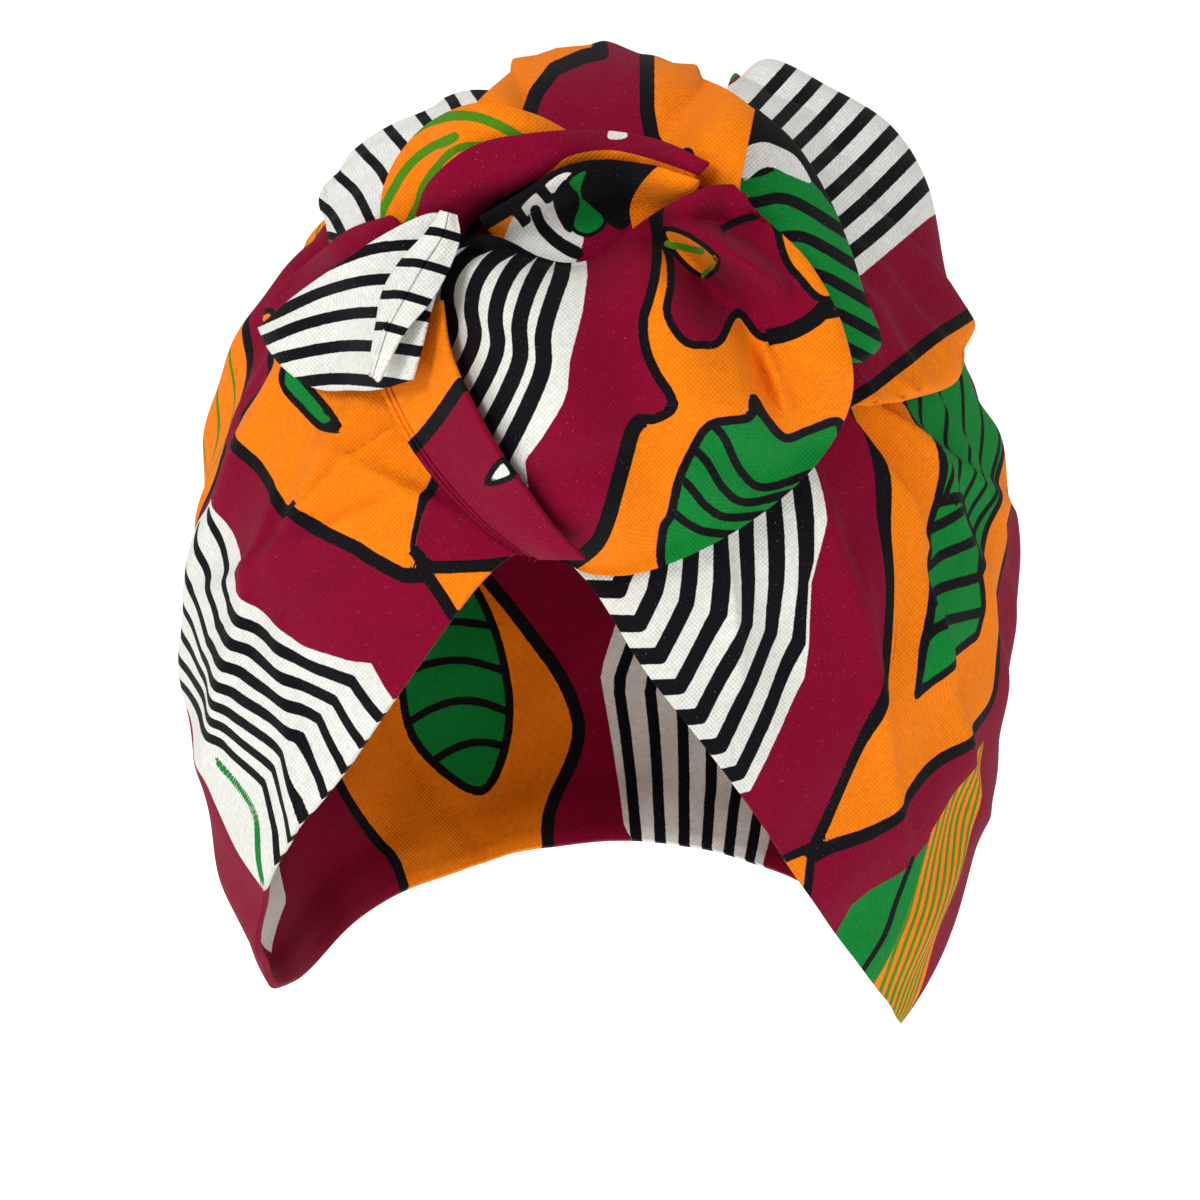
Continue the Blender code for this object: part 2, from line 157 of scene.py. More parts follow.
class Stripes(NamedTuple):
    """Bars between a first and a last line, inside the latest area less a margin.

    The widths of the first and the last bar and the margin are in mm, and the lines run
    straight between their points where sharp is set.
    """

    dye: Dye
    first: Points
    last: Points
    count: int
    width: float
    last_width: float
    margin: float = 0
    sharp: bool = False


class Stroke(NamedTuple):
    """A line of dye, its width in mm, and whether it runs straight between its points."""

    dye: Dye
    points: Points
    width: float
    sharp: bool = False


Chart = tuple[Area | Stripes | Stroke, ...]

BURGUNDY, ORANGE, LIME, GREEN, WHITE, BLACK = Dye

# The dyes that are laid on the burgundy ground
DYES = list(Dye)[1:]


# Shared geometry


def smooth(rows: Array, t: Array) -> Array:
    """A Catmull-Rom curve through rows.

    Args:
        rows: points of the curve, one a row.
        t: places along it, from 0 to 1, evenly spaced by row.

    Returns:
        The curve's points at t, on a new last axis.
    """
    rows = np.asarray(rows, float)
    spans = len(rows) - 1
    s = np.clip(t, 0, 1) * spans
    i = np.minimum(s.astype(int), spans - 1)
    f = (s - i)[..., None]
    padded = np.vstack((2 * rows[0] - rows[1], rows, 2 * rows[-1] - rows[-2]))
    before, start, end, after = (padded[i + k] for k in range(4))
    cubic = 3 * (start - end) + after - before
    square = 2 * before - 5 * start + 4 * end - after
    return start + 0.5 * f * (end - before + f * (square + f * cubic))


def direction(azimuth: Array | float, elevation: Array | float) -> Array:
    """Unit vectors of angles in degrees: sine and cosine of azimuth, level with elevation's.

    Args:
        azimuth: 0 to the front and 90 to the right.
        elevation: 90 straight up.

    Returns:
        The vectors, on a new last axis.
    """
    azimuth, elevation = np.radians(azimuth), np.radians(elevation)
    level = np.cos(elevation)
    return np.stack((np.sin(azimuth) * level, -np.cos(azimuth) * level, np.sin(elevation)), -1)


def nearest(degrees: Array) -> Array:
    """Angles brought between minus and plus half a turn."""
    return (degrees + HALF_TURN) % TURN - HALF_TURN


@dataclass(frozen=True)
class HeadForm:
    """The wrapped head, made of quarter ellipsoids: half sizes over the cloth."""

    half_width: float = 81.5 * MM
    front_depth: float = 92 * MM
    back_depth: float = 100 * MM
    crown_height: float = 102 * MM
    lower_height: float = 122 * MM
    wall: float = 1.2 * MM

    @cached_property
    def centre(self) -> Array:
        """The middle of the head, under the point that the wrap sits on."""
        return np.array((0.0, 0.0, self.wall - self.crown_height))

    def radius(self, d: Array) -> Array:
        """Distance from the centre to the form, where the squared shares of the half sizes make 1.

        Args:
            d: unit vectors.

        Returns:
            The distance along each.
        """
        depth = np.where(d[..., 1] < 0, self.front_depth, self.back_depth)
        height = np.where(d[..., 2] > 0, self.crown_height, self.lower_height)
        level = (d[..., 0] / self.half_width) ** 2 + (d[..., 1] / depth) ** 2
        return 1 / np.sqrt(level + (d[..., 2] / height) ** 2)


@dataclass(frozen=True)
class FaceFrame:
    """The rosette's own coordinates, which taper a little towards the front."""

    head: HeadForm
    azimuth: float = 7
    elevation: float = 18
    taper: float = 850 * MM
    rise: float = 6 * MM

    @cached_property
    def out(self) -> Array:
        """The direction that the rosette faces."""
        return direction(self.azimuth, self.elevation)

    @cached_property
    def right(self) -> Array:
        """The direction of x."""
        turn = math.radians(self.azimuth)
        return np.array((math.cos(turn), math.sin(turn), 0.0))

    @cached_property
    def up(self) -> Array:
        """The direction of y."""
        return np.cross(self.right, -self.out)

    @cached_property
    def centre(self) -> Array:
        """The point where x, y and h are nought."""
        return self.head.centre + self.rise * self.up

    def to_space(self, x: Array, y: Array, h: Array) -> Array:
        """Points in space of face coordinates, closer together the higher they are.

        Args:
            x: to the right.
            y: up.
            h: out of the face.

        Returns:
            The points, on a new last axis.
        """
        taper = 1 - h / self.taper
        flat = (x * taper)[..., None] * self.right + (y * taper)[..., None] * self.up
        return self.centre + flat + h[..., None] * self.out

    def to_face(self, points: Array) -> tuple[Array, Array, Array]:
        """Face coordinates of points in space: offsets along its axes, spread by the taper.

        Args:
            points: the points.

        Returns:
            x, y and h.
        """
        rel = points - self.centre
        h = rel @ self.out
        taper = 1 - h / self.taper
        return rel @ self.right / taper, rel @ self.up / taper, h


WAVES = (
    Wave(0.9, 0.3, 0.3, 41, 0.4), Wave(-0.4, 0.8, 0.5, 33, 2.1), Wave(0.2, -0.5, 0.9, 27, 4.4),
    Wave(0.7, 0.6, -0.6, 21, 1.3), Wave(-0.8, 0.1, 0.7, 17, 5.2),
)


def wander(points: Array, height: float) -> Array:
    """Slow unevenness of worn cloth: the sum of plane waves that don't line up.

    Args:
        points: places on the cloth.
        height: what all the crests would make together.

    Returns:
        The height that the waves add at each point.
    """
    total = np.zeros(points.shape[:-1])
    for wave in WAVES:
        heading = np.array((wave.x, wave.y, wave.z))
        phase = points @ heading / np.linalg.norm(heading) * 2 * math.pi / (wave.length * MM)
        total += np.sin(phase + wave.start) * wave.length
    return total * height / sum(wave.length for wave in WAVES)


def fold_height(x: Array, y: Array, folds: tuple[Fold, ...]) -> Array:
    """Height that folds add: a bell across each line, most of half a sine wave along it.

    Args:
        x: places across the face.
        y: places up it.
        folds: the ridges and dents.

    Returns:
        The added height at each place.
    """
    begins, spans, fades = 0.15, 0.7, 1.5
    total = np.zeros_like(x)
    for fold in folds:
        start = np.array((fold.x0, fold.y0)) * MM
        run = np.array((fold.x1, fold.y1)) * MM - start
        length = math.hypot(*run)
        width = fold.width * MM
        along = ((x - start[0]) * run[0] + (y - start[1]) * run[1]) / length**2
        side = ((x - start[0]) * run[1] - (y - start[1]) * run[0]) / length
        end = np.clip(along, 0, 1)
        beyond = (along - end) * length
        spread = np.where(side > 0, width, width * fold.steep)
        ridge = np.exp(-((side / spread) ** 2) - (beyond / (fades * width)) ** 2)
        total += fold.height * MM * ridge * np.sin(math.pi * (begins + spans * end))
    return total


HEAD = HeadForm()
FACE = FaceFrame(HEAD)


# The print


@dataclass
class PrintedSurface:
    """The points of a sheet as the print meets them, and the dye that each carries.

    A chart's lines are lifted from flat chart coordinates to places in millimetres, where
    distances are measured; whether a point is inside an area is settled in the flat. No
    distance is kept beyond far. Where turns is set, the flat x is an azimuth in degrees.
    """

    flat: Array
    place: Array
    normal: Array
    lift: Callable[[Array], Array]
    turns: bool = False
    far: float = 8.0
    steps: int = 6
    outline_reach: float = 3.0
    bar_reach: float = 3.0
    least_pitch: float = 0.5
    dyes: dict[Dye, Array] = field(default_factory=dict)
    bars: dict[Dye, Array] = field(default_factory=dict)
    outlines: list[dict[str, Array]] = field(default_factory=list)

    def __post_init__(self) -> None:
        """Starts with bare burgundy ground."""
        count = len(self.flat)
        for dye in DYES:
            self.dyes[dye] = np.full(count, -self.far)
        for dye in (LIME, BLACK):
            self.bars[dye] = np.full(count, -self.far)
        self.band = np.zeros(count)
        self.pitch = np.ones(count)
        self.width = np.zeros(count)
        for _ in range(OUTLINE_PLIES):
            off, clip = np.full(count, self.far), np.full(count, -self.far)
            self.outlines.append({"off": off, "half": np.zeros(count), "clip": clip})

    def curve(self, points: Points, sharp: bool, closed: bool = False) -> Array:
        """Points of a chart's line, rounded or straight between its corners.

        Args:
            points: the corners.
            sharp: whether the line runs straight between them.
            closed: whether it returns to its start.

        Returns:
            Chart coordinates of short steps along the line.
        """
        rows = np.array(points, float)
        if closed:
            rows = np.vstack((rows, rows[:1]))
        t = np.linspace(0, 1, (len(rows) - 1) * self.steps + 1)
        if sharp:
            s = t * (len(rows) - 1)
            columns = [np.interp(s, np.arange(len(rows)), column) for column in rows.T]
            return np.stack(columns, -1)
        if not closed:
            return smooth(rows, t)
        extra = 2
        looped = np.vstack((rows[-extra - 1 : -1], rows, rows[1 : extra + 1]))
        spans = len(looped) - 1
        return smooth(looped, (extra + t * (len(rows) - 1)) / spans)

    def measure(self, path: Array, chosen: Array) -> tuple[Array, Array]:
        """Distance from chosen points to a path, and the side of it that they lie on.

        Each point takes the least of its distances to the path's segments, and its side
        is the sign of the triple product of segment, offset and surface normal.

        Args:
            path: points of the path.
            chosen: indices of the points to measure.

        Returns:
            The distances, and 1 or -1 for the sides.
        """
        points, normal = self.place[chosen], self.normal[chosen]
        best = np.full(len(chosen), np.inf)
        side = np.ones(len(chosen))
        for start, end in zip(path[:-1], path[1:]):
            run = end - start
            rel = points - start
            t = np.clip(rel @ run / max(run @ run, TINY), 0, 1)
            square = ((rel - t[:, None] * run) ** 2).sum(1)
            closer = np.flatnonzero(square < best)
            best[closer] = square[closer]
            side[closer] = (np.cross(run, rel[closer]) * normal[closer]).sum(1)
        return np.sqrt(best), np.where(side < 0, -1.0, 1.0)

    def near(self, path: Array, reach: float) -> Array:
        """Indices of the points within reach of the box around a path."""
        low, high = path.min(0) - reach, path.max(0) + reach
        return np.flatnonzero(((self.place > low) & (self.place < high)).all(1))

    def inside(self, outline: Array, chosen: Array) -> Array:
        """Which points an outline encloses: those with an odd count of its edges to one side.

        Args:
            outline: the closed outline in chart coordinates.
            chosen: indices of the points to test.

        Returns:
            Whether each is inside.
        """
        x, y = self.flat[chosen].T
        if self.turns:
            middle = outline[:, 0].mean()
            x = nearest(x - middle) + middle
        within = np.zeros(len(chosen), bool)
        for (x0, y0), (x1, y1) in zip(outline[:-1], outline[1:]):
            crosses = (y0 > y) != (y1 > y)
            if y1 != y0:
                within ^= crosses & (x < (x1 - x0) * (y - y0) / (y1 - y0) + x0)
        return within

    def fill(self, dye: Dye, depth: Array) -> None:
        """Lays a dye over the earlier ones, by the least or the greatest of signed distances.

        Args:
            dye: the dye.
            depth: the signed distance into its shape, above nought inside it.
        """
        order = list(Dye)
        for other, value in self.dyes.items():
            if order.index(other) > order.index(dye):
                np.minimum(value, -depth, out=value)
        if dye is not BLACK:
            for value in (*self.bars.values(), *(ply["clip"] for ply in self.outlines)):
                np.minimum(value, -depth, out=value)
        if dye is not BURGUNDY:
            np.maximum(self.dyes[dye], depth, out=self.dyes[dye])

    def lay_area(self, area: Area) -> Array:
        """Paints an area and its outline.

        Args:
            area: the area.

        Returns:
            The signed distance into it, above nought inside it.
        """
        outline = self.curve(area.points, area.sharp, closed=True)
        path = self.lift(outline)
        depth = np.full(len(self.flat), -self.far)
        chosen = self.near(path, self.far)
        distance, _ = self.measure(path, chosen)
        inner = self.inside(outline, chosen)
        depth[chosen] = np.clip(np.where(inner, distance, -distance), -self.far, self.far)
        self.fill(area.dye, depth)
        if area.line:
            self.lay_outline(depth, area.line / 2)
        return depth

    def lay_outline(self, off: Array, half: float) -> None:
        """Draws an outline on the ply where it meets the fewest others.

        Each ply keeps, for the outline nearest to a point, how far off and on which side of
        it the point is, half its width, and how far the point is inside what it may mark.

        Args:
            off: signed distance from the outline's middle line.
            half: half the outline's width.
        """
        close = np.abs(off) < self.outline_reach
        ply = min(self.outlines, key=lambda one: ((one["clip"] > -self.outline_reach) & close).sum())
        newer = np.abs(off) < np.where(ply["clip"] > 0, np.abs(ply["off"]), self.far)
        ply["off"][newer] = off[newer]
        ply["half"][newer] = half
        ply["clip"][newer] = self.outline_reach - np.abs(off[newer])

    def lay_stroke(self, stroke: Stroke) -> None:
        """Paints a line: a black one as an outline that ends square, another as a narrow area.

        Args:
            stroke: the line.
        """
        path = self.lift(self.curve(stroke.points, stroke.sharp))
        depth = np.full(len(self.flat), -self.far)
        chosen = self.near(path, self.far)
        distance, side = self.measure(path, chosen)
        if stroke.dye is not BLACK:
            depth[chosen] = np.maximum(stroke.width / 2 - distance, -self.far)
            self.fill(stroke.dye, depth)
            return
        over = np.zeros(len(chosen), bool)
        for end, inner in ((path[0], path[1]), (path[-1], path[-2])):
            rel = self.place[chosen] - end
            over |= (rel @ (end - inner) > 0) & (distance >= np.linalg.norm(rel, axis=1) - TINY)
        depth[:] = self.far
        depth[chosen] = np.where(over, self.far, np.minimum(distance, self.far) * side)
        self.lay_outline(depth, stroke.width / 2)

    def lay_stripes(self, stripes: Stripes, area: Array) -> None:
        """Paints bars inside an area.

        A point's band is its place across the bars, counted in bars: between two of their
        middle lines it is the first one's number plus the share of the way to the next.

        Args:
            stripes: the bars.
            area: the signed distance into the area that they fill.
        """
        chosen = np.flatnonzero(area > -self.bar_reach)
        first, last = (self.curve(row, stripes.sharp) for row in (stripes.first, stripes.last))
        signed = []
        for share in np.linspace(0, 1, stripes.count):
            path = self.lift(first + (last - first) * share)
            lead = (path[0] - path[1]) / np.linalg.norm(path[0] - path[1])
            tail = (path[-1] - path[-2]) / np.linalg.norm(path[-1] - path[-2])
            path = np.vstack((path[0] + self.far * lead, path, path[-1] + self.far * tail))
            distance, side = self.measure(path, chosen)
            signed.append(distance * side)
        signed = np.array(signed)
        if (signed[0] - signed[-1]).mean() < 0:
            signed = -signed
        passed = (signed > 0).sum(0)
        low = np.clip(passed - 1, 0, stripes.count - 2)
        column = np.arange(len(chosen))
        pitch = np.maximum(signed[low, column] - signed[low + 1, column], self.least_pitch)
        band = low + signed[low, column] / pitch
        ends = np.minimum(band + 0.5, stripes.count - 0.5 - band) * pitch
        depth = np.minimum(area[chosen] - stripes.margin, ends)
        newer = depth > np.maximum(self.bars[LIME][chosen], self.bars[BLACK][chosen])
        share = np.clip(band / (stripes.count - 1), 0, 1)
        width = stripes.width + (stripes.last_width - stripes.width) * share
        for store, value in ((self.band, band), (self.pitch, pitch), (self.width, width)):
            store[chosen[newer]] = value[newer]
        bars = self.bars[stripes.dye]
        bars[chosen] = np.maximum(bars[chosen], depth)

    def paint(self, chart: Chart) -> dict[str, Array]:
        """Paints a chart row by row.

        Args:
            chart: areas, bars and lines, from the lowest to the highest.

        Returns:
            The values that the shader reads at each point, by attribute name.
        """
        area = np.full(len(self.flat), -self.far)
        for row in chart:
            if isinstance(row, Area):
                area = self.lay_area(row)
            elif isinstance(row, Stripes):
                self.lay_stripes(row, area)
            else:
                self.lay_stroke(row)
        values = {dye.name.lower(): value for dye, value in self.dyes.items()}
        values |= {dye.name.lower() + "_bars": value for dye, value in self.bars.items()}
        for i, ply in enumerate(self.outlines):
            values |= {f"{name}_{i}": value for name, value in ply.items()}
        return values | {"band": self.band, "pitch": self.pitch, "bar": self.width}


# The cloth


def linear(code: str) -> tuple[float, float, float, float]:
    """Linear colour of an sRGB hex value, by the standard's straight part and its power above.

    Args:
        code: the value, after a hash mark.

    Returns:
        Red, green, blue and full alpha.
    """
    shares = [int(code[i : i + 2], 16) / 255 for i in (1, 3, 5)]
    values = [s / 12.92 if s <= 0.04045 else ((s + 0.055) / 1.055) ** 2.4 for s in shares]
    return (*values, 1.0)


# Inputs 1 to 5 of a Mix node serve other kinds of data than colour
OTHER_DATA = (None,) * 5


def add_node(tree: Tree, kind: str, *inputs: object, output: str | int = 0, **named: object) -> Socket:
    """Adds a node to a material.

    Args:
        tree: the material's nodes.
        kind: the node's type, after its prefix.
        inputs: sockets by place, each a value, the socket that it links from, or None.
        output: the output that is wanted.
        named: sockets by name, with a capital, and the node's properties, without one.

    Returns:
        The wanted output.
    """
    node = tree.nodes.new("ShaderNode" + kind)
    sockets = dict(enumerate(inputs))
    for name, value in named.items():
        if name[0].isupper():
            sockets[name] = value
        else:
            setattr(node, name, value)
    for name, value in sockets.items():
        if isinstance(value, Socket):
            tree.links.new(value, node.inputs[name])
        elif value is not None:
            node.inputs[name].default_value = value
    return node.outputs[output]


@dataclass(frozen=True)
class WaxPrintCotton:
    """Wax-printed plain-weave cotton, starched: crisp dye edges, matt, with a faint sheen.

    Real thread spacing is about 0.35 mm, too fine to show, so it is drawn at thread_mm. The
    scales of the noises are in features a metre.
    """

    name: str = "wax_print_cotton"
    roughness: float = 0.86
    sheen: float = 0.015
    sheen_roughness: float = 0.5
    gloss: float = 0.09
    thread_mm: float = 0.44
    thread_height: float = 0.08 * MM
    thread_strength: float = 0.6
    # How far painted weave shade darkens the thread hollows and lightens the thread tops
    thread_shade: float = 0.14
    crumple_height: float = 0.8 * MM
    crumple_scale: float = 95
    crumple_strength: float = 0.55
    edge_mm: float = 0.14
    bleed_mm: float = 0.22
    bleed_scale: float = 700
    tint_scale: float = 900
    tint_range: float = 0.4
    darkest_tint: float = 0.78
    undyed: str = "#D9C9B4"
    fleck_scale: float = 2600
    fleck_gain: float = 1.3
    fleck_level: float = -0.92

    def build(self) -> bpy.types.Material:
        """Builds the material: dyes by their signed distances, then tint, painted weave shade, flecks and
        relief.

        Returns:
            The material.
        """
        material = bpy.data.materials.new(self.name)
        material.use_nodes = True
        tree = material.node_tree
        add = partial(add_node, tree)
        shader = tree.nodes["Principled BSDF"].inputs
        shader["Roughness"].default_value = self.roughness
        shader["Sheen Weight"].default_value = self.sheen
        shader["Sheen Roughness"].default_value = self.sheen_roughness
        shader["Specular IOR Level"].default_value = self.gloss
        place = add("TexCoord", output="Object")
        colour = self.dyed(tree, place)
        threads = self.threads(tree)
        tint = add("TexNoise", Vector=place, Scale=self.tint_scale, Detail=3)
        tint = add("Math", tint, self.tint_range, self.darkest_tint, operation="MULTIPLY_ADD")
        # Painted shade and highlight of the weave: the colour is darker in the thread hollows and lighter
        # on the thread tops
        shade = add("Math", threads, self.thread_shade, tint, operation="MULTIPLY_ADD")
        toned = add("VectorMath", colour, Scale=shade, operation="SCALE")
        specks = add("TexNoise", Vector=place, Scale=self.fleck_scale, Detail=1)
        flecks = add(
            "Math", specks, self.fleck_gain, self.fleck_level, operation="MULTIPLY_ADD", use_clamp=True
        )
        colour = add("Mix", flecks, *OTHER_DATA, toned, linear(self.undyed), output=2, data_type="RGBA")
        tree.links.new(colour, shader["Base Color"])
        tree.links.new(self.relief(tree, place, threads), shader["Normal"])
        return material

    def dyed(self, tree: Tree, place: Socket) -> Socket:
        """The print's colour: each dye covers the ones before it inside its own edge.

        Args:
            tree: the material's nodes.
            place: the object's own coordinates.

        Returns:
            The colour.
        """
        add = partial(add_node, tree)
        names = ["band", "pitch", "bar", "lime_bars", "black_bars", *(dye.name.lower() for dye in DYES)]
        names += [f"{name}_{i}" for i in range(OUTLINE_PLIES) for name in ("off", "half", "clip")]
        value = {name: add("Attribute", attribute_name=name, output="Fac") for name in names}
        bleed = add("TexNoise", Vector=place, Scale=self.bleed_scale, Detail=2)
        jitter = add("Math", bleed, self.bleed_mm, -self.bleed_mm / 2, operation="MULTIPLY_ADD")
        whole = add("Math", value["band"], operation="ROUND")
        off = add("Math", value["band"], whole, operation="SUBTRACT")
        off = add("Math", add("Math", off, operation="ABSOLUTE"), value["pitch"], operation="MULTIPLY")
        half = add("Math", value["bar"], 0.5, operation="MULTIPLY")
        bar = add("Math", half, off, operation="SUBTRACT")
        colour = linear(BURGUNDY.value)
        for dye in DYES:
            name = dye.name.lower()
            depth = value[name]
            if dye in (LIME, BLACK):
                inner = add("Math", value[name + "_bars"], bar, operation="MINIMUM")
                depth = add("Math", depth, inner, operation="MAXIMUM")
            for i in range(OUTLINE_PLIES if dye is BLACK else 0):
                off = add("Math", value[f"off_{i}"], operation="ABSOLUTE")
                inner = add("Math", value[f"half_{i}"], off, operation="SUBTRACT")
                inner = add("Math", inner, value[f"clip_{i}"], operation="MINIMUM")
                depth = add("Math", depth, inner, operation="MAXIMUM")
            depth = add("Math", depth, jitter, operation="ADD")
            share = add("Math", depth, 1 / self.edge_mm, 0.5, operation="MULTIPLY_ADD", use_clamp=True)
            dyed = linear(dye.value)
            colour = add("Mix", share, *OTHER_DATA, colour, dyed, output=2, data_type="RGBA")
        return colour

    def threads(self, tree: Tree) -> Socket:
        """Plain weave: the product of a sine across the warp and one across the weft.

        Args:
            tree: the material's nodes.

        Returns:
            The weave's height, from -1 to 1.
        """
        add = partial(add_node, tree)
        weave = add("UVMap", uv_map="weave")
        waves = []
        for axis in ("X", "Y"):
            place = add("SeparateXYZ", weave, output=axis)
            phase = add("Math", place, math.pi / self.thread_mm, operation="MULTIPLY")
            waves.append(add("Math", phase, operation="SINE"))
        return add("Math", *waves, operation="MULTIPLY")

    def relief(self, tree: Tree, place: Socket, threads: Socket) -> Socket:
        """Normals of the threads, on top of the small crumples of worn cotton.

        Args:
            tree: the material's nodes.
            place: the object's own coordinates.
            threads: the weave's height.

        Returns:
            The normal.
        """
        add = partial(add_node, tree)
        crumples = add("TexNoise", Vector=place, Scale=self.crumple_scale, Detail=4)
        strength, height = self.crumple_strength, self.crumple_height
        crumpled = add("Bump", Strength=strength, Distance=height, Height=crumples)
        strength, height = self.thread_strength, self.thread_height
        return add("Bump", Strength=strength, Distance=height, Height=threads, Normal=crumpled)


@dataclass
class Cloth:
    """Makes sheets of the printed cotton."""

    finish: WaxPrintCotton
    wall: float = 0.8 * MM

    def __post_init__(self) -> None:
        """Builds the finish once, for all sheets."""
        self.material = self.finish.build()

    def mesh_of(self, name: str, points: Array, faces: Array | list, values: dict[str, Array]) -> Object:
        """A sheet as an object, with its print at its points and its weave at its corners.

        Args:
            name: the object's name.
            points: the mesh's points, one a row.
            faces: each face's points, by index.
            values: the print's values at the points, by attribute name.

        Returns:
            The object.
        """
        mesh = bpy.data.meshes.new(name)
        mesh.from_pydata(points, [], faces)
        mesh.shade_smooth()
        for key, value in values.items():
            attribute = mesh.attributes.new(key, "FLOAT", "POINT")
            attribute.data.foreach_set("value", value.astype(np.float32))
        self.lay_weave(mesh)
        mesh.materials.append(self.material)
        sheet = bpy.data.objects.new(name, mesh)
        bpy.context.scene.collection.objects.link(sheet)
        return sheet

    def lay_weave(self, mesh: bpy.types.Mesh) -> None:
        """Lays the thread directions: each face reads the two face axes that it lies along.

        Args:
            mesh: the sheet's mesh.
        """
        axes = np.stack((FACE.right, FACE.up, FACE.out))
        corner = np.zeros(len(mesh.loops), int)
        mesh.loops.foreach_get("vertex_index", corner)
        place = np.zeros(len(mesh.vertices) * 3)
        mesh.vertices.foreach_get("co", place)
        place = place.reshape(-1, 3) @ axes.T / MM
        normal = np.zeros(len(mesh.polygons) * 3)
        mesh.polygons.foreach_get("normal", normal)
        normal = np.abs(normal.reshape(-1, 3) @ axes.T)
        sides = np.zeros(len(mesh.polygons), int)
        mesh.polygons.foreach_get("loop_total", sides)
        facing = np.repeat(normal.argmax(1), sides)
        first = np.where(facing == 0, 1, 0)
        second = np.where(facing == 2, 1, 2)
        spots = place[corner]
        row = np.arange(len(corner))
        uv = np.stack((spots[row, first], spots[row, second]), -1)
        mesh.uv_layers.new(name="weave").data.foreach_set("uv", uv.ravel())

    def sheet(self, name: str, grid: Array, painted: Callable[[Array], dict[str, Array]]) -> Object:
        """A sheet with a real wall from a grid of points on its outer side.

        Args:
            name: the object's name.
            grid: the points, along and across.
            painted: paints points and returns their values.

        Returns:
            The object, thickened inwards.
        """
        middle = grid[grid.shape[0] // 2]
        run = grid[grid.shape[0] // 2 + 1] - middle
        turn = np.cross(run[:-1], np.diff(middle, axis=0)) @ FACE.out
        inner_third = len(turn) // 3
        if turn[:inner_third].sum() < 0:
            grid = grid[::-1]
        index = np.arange(grid[..., 0].size).reshape(grid.shape[:2])
        corners = (index[:-1, :-1], index[1:, :-1], index[1:, 1:], index[:-1, 1:])
        faces = np.stack(corners, -1).reshape(-1, 4)
        points = grid.reshape(-1, 3)
        sheet = self.mesh_of(name, points, faces, painted(points))
        wall = sheet.modifiers.new("Wall", "SOLIDIFY")
        wall.thickness = self.wall
        wall.offset = -1
        return sheet

    @staticmethod
    def hand_over(sheet: Object, node: str) -> None:
        """Puts a sheet on the frame in place of its solid.

        Args:
            sheet: the sheet.
            node: the solid's name.
        """
        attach(sheet, "root")
        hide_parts(node)
        log.info("%s rides on root", sheet.name)


def cut_size(grid: Array) -> tuple[float, float]:
    """Width and length of the strip that a grid of cloth is cut from.

    The length is the grid's mean run along, and the width is its area over that length.

    Args:
        grid: points along and across.

    Returns:
        The width and the length.
    """
    length = np.linalg.norm(np.diff(grid, axis=0), axis=-1).sum(0).mean()
    run, side = grid[1:, :-1] - grid[:-1, :-1], grid[:-1, 1:] - grid[:-1, :-1]
    area = np.linalg.norm(np.cross(run, side), axis=-1).sum()
    return area / length, length


# The crown wrap


